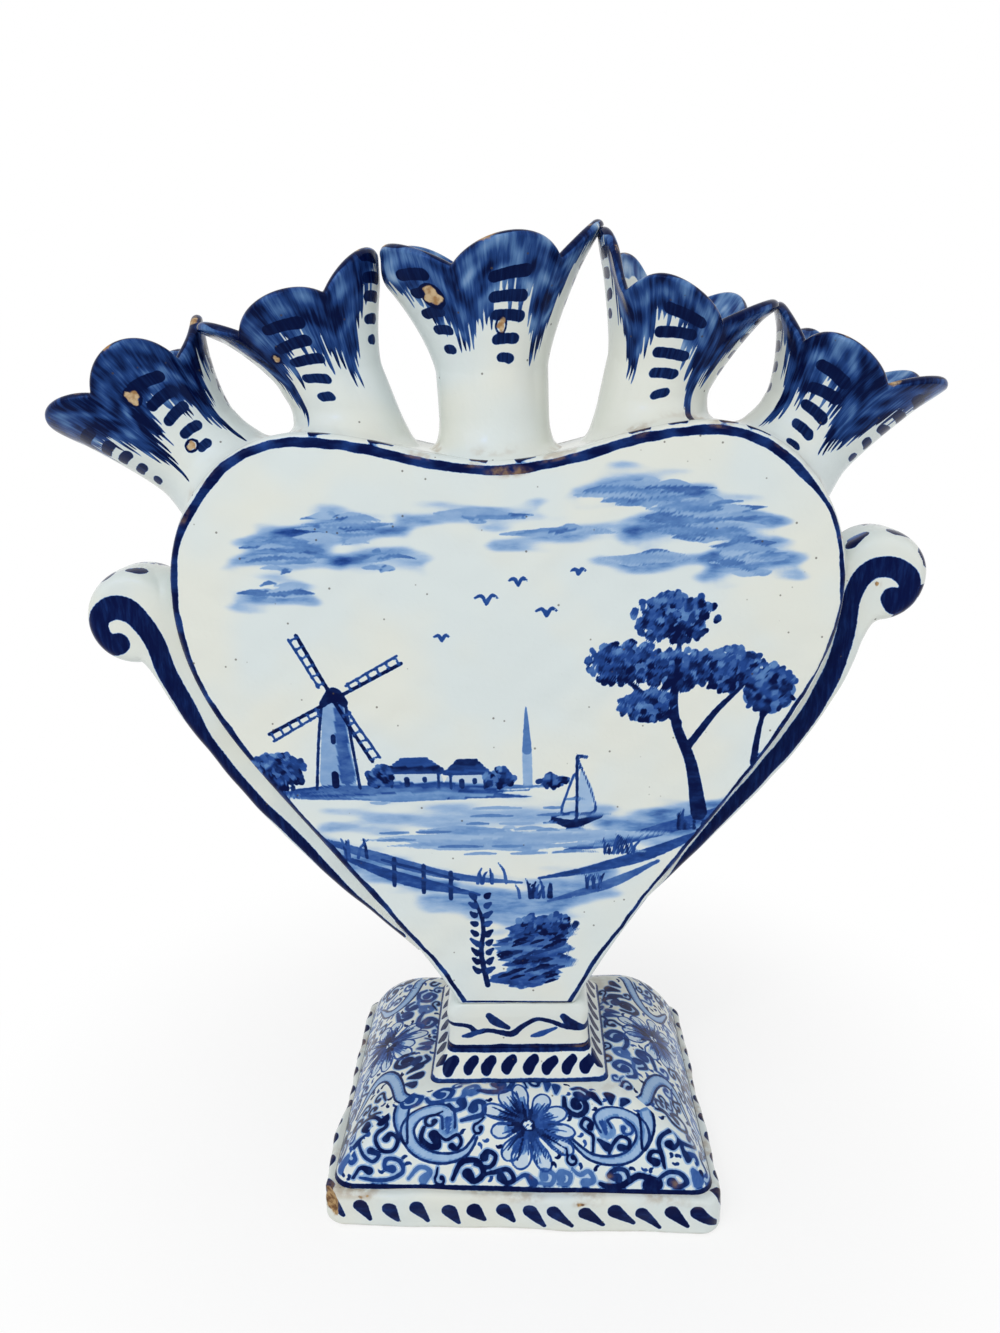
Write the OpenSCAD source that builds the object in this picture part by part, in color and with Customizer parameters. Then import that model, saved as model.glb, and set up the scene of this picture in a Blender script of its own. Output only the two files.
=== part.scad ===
// Heart-shaped flower vase with five spouts, in tin-glazed earthenware.
// Millimetres, +Z up. The origin is the middle of the foot's underside, and the painted face looks to -Y.

/* [Foot] */
// Width of the foot band
foot_w = 94; // [80:0.5:110]
// Depth of the foot band
foot_d = 79; // [66:0.5:90]
// Height of the foot band
foot_h = 9.5; // [6:0.5:14]
// Radius of the foot's corners
foot_r = 5; // [2:0.5:8]
// Thickness of the foot band, inwards
foot_wall = 9; // [6:0.5:12]

/* [Dome] */
// Ledge left on the foot band round the dome
dome_ledge = 2; // [0.5:0.5:4]
// Height of the dome
dome_h = 17.5; // [12:0.5:26]
// Slope from upright at which the dome leaves its ledge, in degrees
dome_start = 28; // [0:1:36]
// Wall of the dome
dome_wall = 6; // [4:0.5:8]

/* [Collar and neck] */
// Width of the collar where it sits on the dome
collar_w = 44; // [40:0.5:52]
// Depth of the collar where it sits on the dome
collar_d = 43; // [39:0.5:50]
// Height of the collar
collar_h = 6.6; // [4:0.2:10]
// Radius of the collar's and the neck's corners
neck_r = 2.5; // [1:0.5:4]
// Width of the neck
neck_w = 35; // [31:0.5:39]
// Height of the neck
neck_h = 12.2; // [8:0.2:20]
// Wall of the neck
neck_wall = 6; // [4:0.5:9]
// Distance that the hand-set collar sits to the left of the foot's middle
collar_shift = 1; // [0:0.1:2]
// Lean to the left that the hand-built collar, neck and body have, in degrees
body_lean = 1.8; // [0:0.1:3]

/* [Heart] */
// Greatest width of the heart
heart_w = 147; // [136:0.5:160]
// Height of the lobe tops over the neck
heart_h = 137.5; // [128:0.5:150]
// Height of the widest level over the neck
widest_h = 103; // [95:0.5:112]
// Width of the heart where it stands on the neck
heart_foot_w = 28.5; // [24:0.5:31]
// Distance between the two lobe tops
lobe_span = 86; // [76:0.5:96]
// Depth of the cleft between the lobes
cleft_drop = 7; // [3:0.5:12]
// Angle of the flank from upright where it leaves the neck, in degrees
flank_angle = 29; // [24:0.5:34]
// Length over which the flank holds that angle
flank_pull = 57.5; // [45:0.5:65]
// Length over which the flank turns upright below the widest level
widest_pull = 31; // [22:0.5:40]
// Depth of the body, front to back
body_d = 34; // [30:0.5:40]
// Thickness of the front and back walls
panel_t = 5; // [3.5:0.5:7]
// Thickness of the side and top walls
edge_t = 5; // [3.5:0.5:7]
// Thickness of the floor of the water chamber
floor_t = 6; // [4:0.5:10]

/* [Spouts] */
// Places of the five spout feet across the top, left to right
spout_foot_x = [-64, -32.5, -1.5, 32, 64];
// Places across of the points where neighbouring mouths meet, left to right, with the two outer ends
tip_x = [-101, -64.5, -25.4, 21.6, 60.4, 98];
// Heights of those points over the lobe tops
tip_rise = [4, 21.5, 35.5, 41, 23, 4.5];
// Sag of each mouth's front and back below the line between its tips, left to right
mouth_sag = [-4, 0.5, 0.5, 5.5, 2];
// Share of its height at which each spout starts to flare, left to right
flare_start = [0.22, 0.42, 0.42, 0.42, 0.22];
// Turn of each mouth's lobes from facing the front, left to right, in degrees
lobe_turn = [20, 5, 15, 0, -15];
// Gap left between neighbouring mouths
tip_gap = 0.8; // [0.4:0.1:2]
// Depth of a mouth, front to back
mouth_d = 37; // [30:0.5:44]
// Width of a spout at its waist
waist_w = 24.5; // [22:0.5:27]
// Depth of a spout at its waist
waist_d = 22; // [20:0.5:26]
// Width of a spout's spread foot
spout_foot_w = 28; // [25:0.5:30]
// Depth of a spout's spread foot
spout_foot_d = 29; // [26:0.5:32]
// Wall of a spout
spout_wall = 3.2; // [2.4:0.2:4.5]
// Bore through the top wall under a spout
stem_bore = 18; // [14:0.5:20]
// Height that a lobe rises over the notches beside it
lobe_rise = 5; // [1:0.5:8]
// Depth of the notches between lobes, measured inwards
lobe_notch = 3; // [1:0.25:4.5]

/* [Handles] */
// Depth of the handle straps, front to back
strap_d = 18; // [12:0.5:24]
// Thickness of a strap along the flank
strap_t = 10; // [7:0.5:12]
// Thickness of a strap's lower tip
strap_tip_t = 1.6; // [1:0.2:3]
// Height of a strap's lower tip over the neck
strap_low = 12; // [6:0.5:30]
// Length over which a strap swells from its tip
strap_swell = 45; // [30:0.5:60]
// Height that a strap reaches over the widest level
strap_high = 6; // [2:0.5:9]
// Radius of the scroll
scroll_r = 9.6; // [8.5:0.1:11]
// Distance of the scroll's middle out from the heart's widest point
scroll_out = 11; // [10:0.1:13]
// Distance of the scroll's middle under the widest level
scroll_drop = 3.4; // [0:0.1:6]
// Height by which the left scroll is set lower and the right one higher
scroll_skew = 1.2; // [0:0.1:2]

/* [Fit] */
// Slip left between curved pieces that are luted together
slip = 0.1; // [0.05:0.05:0.3]

/* [Hidden] */
SPOUTS = ["outer_left_spout", "inner_left_spout", "centre_spout", "inner_right_spout", "outer_right_spout"];

// Depth of the neck, flush with the body's two faces
neck_d = body_d;

glaze_white = "#e6ebee";
glaze_pale = "#d5dfec";
glaze_blue = "#5573b5";

// Level of the joint between dome and collar, and of the neck's ends over that joint
dome_top = foot_h + dome_h;
neck_low = collar_h;
body_low = collar_h + neck_h;

// Half sizes of the heart
widest_x = heart_w / 2;
lobe_x = lobe_span / 2;

// Steps along a corner, the dome's rise, the flank, the shoulder and the dip between the lobes
corner_steps = 5;
dome_steps = 8;
flank_steps = 28;
shoulder_steps = 20;
dip_steps = 14;

// Steps round a spout and up its wall
lobes = 5;
round_steps = 8 * lobes;
rise_steps = 10;
// Halvings that find where a spout's foot meets the heart's top
top_halvings = 24;
// Share of a spout's height where its foot stops spreading
foot_share = 0.2;
// How fast the mouth flares
flare_power = 1.35;

function mix(a, b, t) = a + (b - a) * t;
function unit(v) = v / norm(v);

// The frame of the collar, neck and body, which lean on the dome
module leaning() translate([-collar_shift, 0, dome_top]) rotate([0, -body_lean, 0]) children();
module on_neck() leaning() translate([0, 0, body_low]) children();

// A closed skin through rings of points that all have the same count, the last ring joined to the first
module skin(rings) {
    count = len(rings[0]);
    total = len(rings);
    faces = [
        for (j = [0:total - 1], i = [0:count - 1])
            let (a = j * count + i, b = j * count + (i + 1) % count)
            let (c = ((j + 1) % total) * count + (i + 1) % count, d = ((j + 1) % total) * count + i)
            each [[a, d, b], [b, d, c]]
    ];
    polyhedron([for (ring = rings) each ring], faces);
}

// Points round a rectangle with round corners, anticlockwise from above
function rounded(w, d, r) = [
    for (corner = [0:3], step = [0:corner_steps])
        let (angle = 90 * corner + 90 * step / corner_steps)
        let (sx = (corner == 0 || corner == 3) ? 1 : -1, sy = corner < 2 ? 1 : -1)
        [sx * (w / 2 - r) + r * cos(angle), sy * (d / 2 - r) + r * sin(angle)]
];

// Rise and run of the dome at a share of its turn, which starts at its slope and ends level
function dome_turn(share) = dome_start + (90 - dome_start) * share;
function dome_rise(share) = (sin(dome_turn(share)) - sin(dome_start)) / (1 - sin(dome_start));
function dome_run(share) = 1 - cos(dome_turn(share)) / cos(dome_start);

// A ring of the dome, which moves under the collar and tips into its lean as it rises
function dome_ring(w, d, r, z, rise) = [
    for (p = rounded(w, d, r)) [p.x - collar_shift * rise, p.y, z + p.x * tan(body_lean) * rise]
];

// Heart outline: flank, shoulder and dip, each as [point, outward normal]
function bezier(p, t) = pow(1 - t, 3) * p[0] + 3 * pow(1 - t, 2) * t * p[1]
    + 3 * (1 - t) * t * t * p[2] + pow(t, 3) * p[3];
function bezier_way(p, t) = pow(1 - t, 2) * (p[1] - p[0]) + 2 * (1 - t) * t * (p[2] - p[1])
    + t * t * (p[3] - p[2]);
flank_points = [
    [heart_foot_w / 2, 0],
    [heart_foot_w / 2 + flank_pull * sin(flank_angle), flank_pull * cos(flank_angle)],
    [widest_x, widest_h - widest_pull],
    [widest_x, widest_h]
];
function flank(t) = let (way = unit(bezier_way(flank_points, t))) [bezier(flank_points, t), [way.y, -way.x]];
function shoulder(angle) =
    let (rx = widest_x - lobe_x, rz = heart_h - widest_h)
    [[lobe_x + rx * cos(angle), widest_h + rz * sin(angle)], unit([cos(angle) / rx, sin(angle) / rz])];
function dip_z(x) = heart_h - cleft_drop * (1 + cos(180 * x / lobe_x)) / 2;
function dip(x) = [[x, dip_z(x)], unit([-cleft_drop / 2 * sin(180 * x / lobe_x) * PI / lobe_x, 1])];

// Height of the heart's top over its place across
function top_z(x) = abs(x) < lobe_x
    ? dip_z(abs(x))
    : widest_h + (heart_h - widest_h) * sqrt(max(0, 1 - pow((abs(x) - lobe_x) / (widest_x - lobe_x), 2)));

flank_edge = [for (i = [0:flank_steps]) flank(i / flank_steps)];
crown_edge = concat(
    [for (i = [0:shoulder_steps]) shoulder(90 * i / shoulder_steps)],
    [for (i = [1:dip_steps]) dip(lobe_x * (1 - i / dip_steps))]
);

function moved_in(edge, inset) = [for (e = edge) e[0] - inset * e[1]];
function reversed(list) = [for (i = [len(list) - 1:-1:0]) list[i]];
function mirrored(points) = [for (p = reversed(points)) [-p.x, p.y]];

// The flank moved inwards and carried on below the neck's level, so that it can be cut flat there
function flank_in(inset) =
    let (points = moved_in(flank_edge, inset), way = unit(points[0] - points[1]))
    concat([points[0] + 2 * edge_t * way], points);
// The whole outline moved inwards, from the right foot over the top to the left foot
function heart_in(inset) =
    let (half = concat(flank_in(inset), moved_in([for (i = [1:len(crown_edge) - 1]) crown_edge[i]], inset)))
    concat(half, mirrored([for (i = [0:len(half) - 2]) half[i]]));

// A shape drawn across and upwards, set upright between two depths
module upright(front, back) translate([0, back, 0])
    rotate([90, 0, 0]) linear_extrude(back - front) children();

// A slab over the neck's level, wide enough for the whole body
module over_neck(height) translate([-heart_w, -body_d, 0]) cube([2 * heart_w, 2 * body_d, height]);

module foot_band() color(glaze_white)
    linear_extrude(foot_h)
        difference() {
            polygon(rounded(foot_w, foot_d, foot_r));
            polygon(rounded(foot_w - 2 * foot_wall, foot_d - 2 * foot_wall, foot_r));
        }

module base_dome() {
    low_w = foot_w - 2 * dome_ledge;
    low_d = foot_d - 2 * dome_ledge;
    bore_w = neck_w - 2 * neck_wall;
    bore_d = neck_d - 2 * neck_wall;
    outer = [
        for (i = [0:dome_steps])
            let (rise = dome_rise(i / dome_steps), run = dome_run(i / dome_steps))
            dome_ring(mix(low_w, collar_w, run), mix(low_d, collar_d, run), mix(foot_r, neck_r, run),
                foot_h + dome_h * rise, rise)
    ];
    inner = [
        for (i = [dome_steps:-1:0])
            let (rise = dome_rise(i / dome_steps), run = dome_run(i / dome_steps))
            dome_ring(mix(low_w - 2 * dome_wall, bore_w, run), mix(low_d - 2 * dome_wall, bore_d, run),
                mix(foot_r, neck_r, run), foot_h + (dome_h - dome_wall) * rise, rise)
    ];
    color(glaze_pale) skin(concat(outer, [dome_ring(bore_w, bore_d, neck_r, dome_top, 1)], inner));
}

module collar() color(glaze_white) leaning() {
    bore = [neck_w - 2 * neck_wall, neck_d - 2 * neck_wall];
    skin([
        [for (p = rounded(collar_w, collar_d, neck_r)) [p.x, p.y, 0]],
        [for (p = rounded(neck_w, neck_d, neck_r)) [p.x, p.y, collar_h]],
        [for (p = rounded(bore.x, bore.y, neck_r)) [p.x, p.y, collar_h]],
        [for (p = rounded(bore.x, bore.y, neck_r)) [p.x, p.y, 0]]
    ]);
}

module neck() color(glaze_white) leaning()
    translate([0, 0, neck_low])
        linear_extrude(neck_h)
            difference() {
                polygon(rounded(neck_w, neck_d, neck_r));
                polygon(rounded(neck_w - 2 * neck_wall, neck_d - 2 * neck_wall, neck_r));
            }

module body_floor() color(glaze_white) on_neck()
    intersection() {
        upright(panel_t - body_d / 2, body_d / 2 - panel_t) polygon(heart_in(edge_t));
        over_neck(floor_t);
    }

module heart_slab(front) on_neck()
    upright(front, front + panel_t)
        polygon(concat(moved_in(flank_edge, 0),
            moved_in([for (i = [1:len(crown_edge) - 1]) crown_edge[i]], 0),
            mirrored(concat(moved_in(flank_edge, 0),
                moved_in([for (i = [1:len(crown_edge) - 2]) crown_edge[i]], 0)))));

module front_wall() color(glaze_white) heart_slab(-body_d / 2);

module back_wall() color(glaze_white) heart_slab(body_d / 2 - panel_t);

module side_wall() intersection() {
    upright(panel_t - body_d / 2, body_d / 2 - panel_t)
        polygon(concat(flank_in(0), reversed(flank_in(edge_t))));
    over_neck(heart_h);
}

module left_side_wall() color(glaze_white) on_neck() mirror([1, 0, 0]) side_wall();

module right_side_wall() color(glaze_white) on_neck() side_wall();

// The way from a spout's foot to the middle of its mouth, and the mouth's slope and half width
function foot_of(i) = [spout_foot_x[i], 0, top_z(spout_foot_x[i])];
function tip(i) = [tip_x[i], 0, heart_h + tip_rise[i]];
function mouth_of(i) = (tip(i) + tip(i + 1)) / 2;
function mouth_slope(i) = let (across = tip(i + 1) - tip(i)) atan2(across.z, across.x);
function mouth_half(i) = norm(tip(i + 1) - tip(i)) / 2 - tip_gap / 2;
function foot_slope(i) =
    let (step = 0.5, x = spout_foot_x[i])
    atan2(top_z(x + step) - top_z(x - step), 2 * step);

// The point where the heart's top lies along a way up from a point, found by halving the reach
function on_top(p, up, low, high, halvings) =
    let (half = (low + high) / 2, q = p + half * up)
    halvings == 0 ? q
    : q.z > top_z(q.x) ? on_top(p, up, low, half, halvings - 1)
    : on_top(p, up, half, high, halvings - 1);

// Half size of a spout's section at a share of its height, when it flares from a given share
function section(foot, waist, mouth, share, start) =
    waist + (foot - waist) * pow(max(0, 1 - share / foot_share), 2)
    + (mouth - waist) * pow(max(0, (share - start) / (1 - start)), flare_power);

// One ring of a spout: an ellipse whose lobes grow towards the mouth, with its foot on the heart's top
function spout_ring(i, share, wall) =
    let (middle = mix(foot_of(i), mouth_of(i), share), slope = mix(foot_slope(i), mouth_slope(i), share))
    let (along = [cos(slope), 0, sin(slope)], upward = [-sin(slope), 0, cos(slope)])
    let (half_w = section(spout_foot_w / 2, waist_w / 2, mouth_half(i), share, flare_start[i]) - wall)
    let (half_d = section(spout_foot_d / 2, waist_d / 2, mouth_d / 2, share, flare_start[i]) - wall)
    [
        for (k = [0:round_steps - 1])
            let (angle = 360 * k / round_steps)
            let (bulge = abs(cos(lobes * (angle - 270 - lobe_turn[i]) / 2)), grown = share * share)
            let (dent = lobe_notch * grown * (1 - bulge) / half_w)
            let (raise = grown * (lobe_rise * (bulge - 1) - mouth_sag[i] * pow(sin(angle), 2)))
            let (p = middle + along * half_w * cos(angle) * (1 - dent) + upward * raise)
            let (y = half_d * sin(angle) * (1 - dent))
            let (q = share > 0 ? p : on_top(p, upward, -half_w, half_w, top_halvings) + slip * upward)
            [q.x, y, q.z]
    ];

module spout(i) color(glaze_blue) on_neck()
    skin(concat(
        [for (j = [0:rise_steps]) spout_ring(i, j / rise_steps, 0)],
        [for (j = [rise_steps:-1:0]) spout_ring(i, j / rise_steps, spout_wall)]
    ));

module outer_left_spout() spout(0);
module inner_left_spout() spout(1);
module centre_spout() spout(2);
module inner_right_spout() spout(3);
module outer_right_spout() spout(4);

// The crown strip, bored through under each spout, square to the top there
module top_wall() color(glaze_white) on_neck() {
    outer = moved_in(crown_edge, 0);
    inner = moved_in(crown_edge, edge_t);
    arch = concat(outer, mirrored([for (i = [0:len(outer) - 2]) outer[i]]));
    under = concat(inner, mirrored([for (i = [0:len(inner) - 2]) inner[i]]));
    difference() {
        upright(panel_t - body_d / 2, body_d / 2 - panel_t) polygon(concat(arch, reversed(under)));
        for (i = [0:len(SPOUTS) - 1])
            translate(foot_of(i))
                rotate([0, -foot_slope(i), 0])
                    cylinder(d = stem_bore, h = 4 * edge_t, center = true, $fn = 64);
    }
}

// The strap follows the flank and the start of the shoulder, and swells from its lower tip
strap_edge = [
    for (e = concat(flank_edge, [for (i = [1:len(crown_edge) - 1]) crown_edge[i]]))
        if (e[0].y >= strap_low && e[0].y <= widest_h + strap_high && e[0].x > lobe_x / 2) e
];
function strap_thickness(z) =
    mix(strap_tip_t, strap_t, sin(90 * min(1, (z - strap_low) / strap_swell)));

module handle(skew) {
    inner = moved_in(strap_edge, -slip);
    outer = [for (e = strap_edge) e[0] + (slip + strap_thickness(e[0].y)) * e[1]];
    upright(-strap_d / 2, strap_d / 2) polygon(concat(outer, reversed(inner)));
    translate([widest_x + scroll_out, 0, widest_h - scroll_drop + skew])
        rotate([90, 0, 0])
            cylinder(r = scroll_r, h = strap_d, center = true, $fn = 96);
}

module left_handle() color(glaze_white) on_neck() mirror([1, 0, 0]) handle(-scroll_skew);

module right_handle() color(glaze_white) on_neck() handle(scroll_skew);

foot_band();
base_dome();
collar();
neck();
body_floor();
front_wall();
back_wall();
left_side_wall();
right_side_wall();
top_wall();
left_handle();
right_handle();
outer_left_spout();
inner_left_spout();
centre_spout();
inner_right_spout();
outer_right_spout();
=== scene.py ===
"""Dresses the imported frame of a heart-shaped flower vase in blue-painted tin glaze.

Lengths are millimetres in the frame's axes, X across, Y to the back and Z up, until a mesh is made.
"""

import logging
from collections.abc import Callable, Sequence
from dataclasses import dataclass, field
from enum import Enum
from math import atan2, cos, hypot, pi, radians, sin, sqrt, tan

import bmesh
import bpy
import numpy as np
from numpy.linalg import norm
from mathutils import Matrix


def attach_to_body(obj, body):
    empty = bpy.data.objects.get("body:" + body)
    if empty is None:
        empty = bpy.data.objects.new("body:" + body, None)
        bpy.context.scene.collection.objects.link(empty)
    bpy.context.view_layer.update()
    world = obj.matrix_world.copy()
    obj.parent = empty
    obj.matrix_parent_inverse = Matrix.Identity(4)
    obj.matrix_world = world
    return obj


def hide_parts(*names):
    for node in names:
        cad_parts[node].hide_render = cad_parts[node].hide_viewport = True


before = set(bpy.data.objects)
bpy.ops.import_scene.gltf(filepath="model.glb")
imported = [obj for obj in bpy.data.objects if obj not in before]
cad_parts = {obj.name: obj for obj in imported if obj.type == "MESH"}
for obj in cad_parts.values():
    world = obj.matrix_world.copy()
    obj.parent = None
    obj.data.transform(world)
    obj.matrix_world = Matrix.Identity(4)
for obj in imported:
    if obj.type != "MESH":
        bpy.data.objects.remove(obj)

Array = np.ndarray
Number = float | np.ndarray
Row = tuple[float, ...]
Pair = tuple[float, float]
Triple = tuple[float, float, float]
MM = 0.001
LOG = logging.getLogger("flower_vase")
# A paint reach of this much outside a stroke is stored as zero, which is also what an unpainted mesh reads
REACH_ZERO = 1.0
UNPAINTED = -9.0


def heading(turn: Number) -> Array:
    """Gives steps of length 1 across and up in the directions of angles."""
    return np.stack([np.cos(turn), np.sin(turn)], -1)


def turns(count: int) -> Array:
    """Gives angles evenly round a circle, from 0 on."""
    return np.linspace(0, 2 * pi, count, endpoint=False)


def blend(a: Number, b: Number, t: Number) -> Number:
    """Gives the value a share t of the way from a to b."""
    return a + (b - a) * t


def ease(low: float, high: float, value: Number) -> Number:
    """Goes smoothly from 0 at low to 1 at high, by 3t^2 - 2t^3."""
    t = np.clip((value - low) / (high - low), 0.0, 1.0)
    return t * t * (3.0 - 2.0 * t)


def wobble(points: Array, size: float, seed: int) -> Array:
    """Smooth unevenness: a sum of sine waves about size long, in seeded directions.

    Args:
        points: Places, in the last axis.
        size: Rough length of a wave.
        seed: Seed of the directions and phases.

    Returns:
        A value of about -1 to 1 for each place.
    """
    rng = np.random.default_rng(seed)
    ways = rng.normal(size=(7, points.shape[-1]))
    ways *= 2 * pi / size * rng.uniform(0.6, 1.5, (7, 1)) / norm(ways, axis=1, keepdims=True)
    return np.sin(points @ ways.T + rng.uniform(0, 2 * pi, 7)).sum(-1) / 2.6


def flow(points: Sequence, per_step: int = 5) -> Array:
    """Carries a smooth Catmull-Rom curve through points of any number of columns.

    Args:
        points: Points in order, one row each.
        per_step: Curve points for each step between two points.

    Returns:
        The curve's points.
    """
    p = np.asarray(points, float)
    padded = np.concatenate([2 * p[:1] - p[1:2], p, 2 * p[-1:] - p[-2:-1]])
    t = np.linspace(0, 1, per_step, endpoint=False)[None, :, None]
    a, b, c, d = (padded[k:len(p) - 1 + k, None] for k in range(4))
    curve = 0.5 * (2 * b + (c - a) * t + (2 * a - 5 * b + 4 * c - d) * t**2 + (3 * b - a - 3 * c + d) * t**3)
    return np.concatenate([curve.reshape(-1, p.shape[1]), p[-1:]])


def way_along(points: Array) -> Array:
    """Measures the way along rows of points, from the first row on."""
    steps = norm(np.diff(points, axis=0), axis=-1)
    return np.concatenate([np.zeros_like(steps[:1]), np.cumsum(steps, 0)])


def spaced(points: Array, count: int) -> Array:
    """Resamples a curve at even steps of its length, to a number of points."""
    run = way_along(points)
    return np.stack([np.interp(np.linspace(0, run[-1], count), run, column) for column in points.T], -1)


class Layer(Enum):
    """A coat of paint that later coats cover."""

    FILL = "fill"
    LINE = "line"


class Side(Enum):
    """A side of the base, by the way it faces and the way across it."""

    FRONT = ((0, -1), (1, 0))
    RIGHT = ((1, 0), (0, 1))
    BACK = ((0, 1), (-1, 0))
    LEFT = ((-1, 0), (0, -1))

    @property
    def wide(self) -> bool:
        """Whether it is the front or the back, which are wider than the other two."""
        return self in (Side.FRONT, Side.BACK)

    def across(self, points: Array) -> Array:
        """Gives the places of points across the side."""
        return points[:, :2] @ np.array(self.value[1], float)


class Paint:
    """What is painted on a piece's points: two coats, a wash, bare clay, stain and a brush chart."""

    def __init__(self, count: int) -> None:
        """Starts with nothing painted.

        Args:
            count: Number of points.
        """
        self.reach = {layer: np.full(count, UNPAINTED) for layer in Layer}
        self.tone = {layer: np.zeros(count) for layer in Layer}
        self.wash = np.zeros(count)
        self.clay = np.full(count, UNPAINTED)
        self.stain = np.zeros(count)
        self.chart = np.zeros((count, 3))

    def lay(self, picked: Array, reach: Array, tone: Number, layer: Layer) -> None:
        """Lays paint on points; the later stroke wins where it covers.

        Args:
            picked: Which points.
            reach: How far inside the stroke each point is, negative outside it.
            tone: Strength of the pigment, from 0 for none to 1 for the darkest.
            layer: The coat.
        """
        old = self.reach[layer][picked]
        takes = (reach > -0.35) & ((reach > old) | (reach > 0))
        tones = np.broadcast_to(tone, reach.shape)
        self.tone[layer][picked[takes]] = tones[takes]
        self.reach[layer][picked] = np.maximum(old, reach)

    def store(self, mesh: bpy.types.Mesh) -> None:
        """Writes the paint into a mesh as point attributes.

        Args:
            mesh: The piece's mesh.
        """
        values = {"wash": self.wash, "stain": self.stain, "clay": self.clay + REACH_ZERO}
        for layer in Layer:
            values[layer.value] = self.reach[layer] + REACH_ZERO
            values[f"{layer.value}_tone"] = self.tone[layer]
        for name, value in values.items():
            attribute = mesh.attributes.new(name, "FLOAT", "POINT")
            attribute.data.foreach_set("value", np.clip(value, 0, 4).astype(np.float32))
        chart = mesh.attributes.new("chart", "FLOAT_VECTOR", "POINT")
        chart.data.foreach_set("vector", self.chart.astype(np.float32).ravel())


class Brush:
    """Lays strokes on a flat chart of some of a piece's points."""

    def __init__(self, paint: Paint, picked: Array, across: Array, up: Array, seed: int) -> None:
        """Takes the paint, the points on this chart, their places across and up it, and a seed."""
        self.paint, self.picked, self.across, self.up = paint, picked, across, up
        self.rng = np.random.default_rng(seed)

    def curve(self, points: Sequence, half: float | Sequence[float]) -> Array:
        """Smooths a stroke's middle line, with half its width as a third column."""
        p = np.asarray(points, float)
        return np.maximum(flow(np.column_stack([p, np.broadcast_to(half, len(p))])), (-np.inf, -np.inf, 0.05))

    def reach(self, curve: Array, spare: float) -> tuple[Array, Array]:
        """Measures points against a stroke: half its width there less the gap to its middle line.

        Args:
            curve: Points of the stroke's middle line, with half its width there.
            spare: How far outside the stroke points are still wanted.

        Returns:
            The chart's points that are near, and how far inside the stroke each is.
        """
        path, half = curve[:, :2], curve[:, 2]
        margin = half.max() + spare
        low, high = path.min(0) - margin, path.max(0) + margin
        near = np.flatnonzero((self.across > low[0]) & (self.across < high[0])
                              & (self.up > low[1]) & (self.up < high[1]))
        points = np.stack([self.across[near], self.up[near]], -1)[:, None]
        start, step = path[:-1], np.diff(path, axis=0)
        length = np.maximum((step * step).sum(-1), 1e-9)
        t = np.clip(((points - start) * step).sum(-1) / length, 0, 1)
        gap = norm(points - start - t[..., None] * step, axis=-1)
        return near, (half[:-1] + t * np.diff(half) - gap).max(1, initial=UNPAINTED)

    def stroke(self, points: Sequence, half: float | Sequence[float], tone: float,
               layer: Layer = Layer.LINE) -> None:
        """Draws a smooth stroke through points, of one half width or one for each point."""
        near, reach = self.reach(self.curve(points, half), 1.0)
        self.paint.lay(self.picked[near], reach, tone, layer)

    def strokes(self, rows: Sequence[tuple], layer: Layer = Layer.LINE) -> None:
        """Draws strokes from rows of points, half widths and a tone."""
        for points, half, tone in rows:
            self.stroke(points, half, tone, layer)

    def wash(self, points: Sequence, half: Sequence[float], depth: float, spread: float) -> None:
        """Lays thin colour along a curve, which fades out over its edge.

        Args:
            points: The curve.
            half: Half the width at each point.
            depth: Strength of the colour.
            spread: How far it fades to both sides of the edge.
        """
        near, reach = self.reach(self.curve(points, half), 1.5 * spread)
        wet = self.picked[near]
        reach += 0.45 * spread * wobble(np.stack([0.3 * self.across[near], self.up[near]], -1), 4.5, 5)
        self.paint.wash[wet] = 1 - (1 - self.paint.wash[wet]) * (1 - depth * ease(-spread, spread, reach))

    def brown(self, depth: Array) -> None:
        """Stains the glaze where it isn't stained deeper already."""
        self.paint.stain[self.picked] = np.maximum(self.paint.stain[self.picked], depth)

    def soil(self, x: float, y: float, size: float, depth: float) -> None:
        """Browns the glaze over a soft spot."""
        self.brown(depth * ease(1.0, 0.2, np.hypot(self.across - x, self.up - y) / size))

    def chip(self, x: float, y: float, wide: float, high: float) -> None:
        """Breaks the glaze away over a small ragged oval and browns its edge.

        Args:
            x: Place across of its middle.
            y: Place up of its middle.
            wide: Half its width.
            high: Half its height.
        """
        d = np.hypot((self.across - x) / wide, (self.up - y) / high)
        turn = np.arctan2(self.up - y, self.across - x)
        ragged = 1 + 0.16 * np.sin(3 * turn + x) + 0.1 * np.sin(5 * turn + y)
        reach = (ragged - d) * min(wide, high)
        self.paint.clay[self.picked] = np.maximum(self.paint.clay[self.picked], reach)
        self.brown(0.8 * ease(-0.9, 0.2, reach))

    def rule(self, reach: float, level: float, count: int, shake: float, half: float, tone: float) -> None:
        """Rules a level line over the reach to both sides, through count points that shake a little."""
        level = level + self.rng.normal(0, shake, count)
        self.stroke(np.column_stack([np.linspace(-reach, reach, count), level]), half, tone)

    def dash(self, x: float, y: float, angle: float, length: float, half: float, tone: float,
             taper: float = 0.45, bow: float = 0.02) -> None:
        """Sets down one loaded brush: a drop that is wide at its head and narrow at its tail.

        Args:
            x: Place across of its middle.
            y: Place up of its middle.
            angle: Way from head to tail in degrees.
            length: Length from end to end.
            half: Half its width at the head.
            tone: Strength of the pigment.
            taper: Share of the width that the tail keeps.
            bow: Share of the length by which its middle bends aside.
        """
        way = heading(radians(angle))
        reach = max(length / 2 - half, 0.05)
        middle = np.array([x, y])
        bent = middle + bow * length * np.array([-way[1], way[0]])
        self.stroke([middle - way * reach, bent, middle + way * reach],
                    [half, half * (1 + taper) / 2, half * taper], tone)

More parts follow.
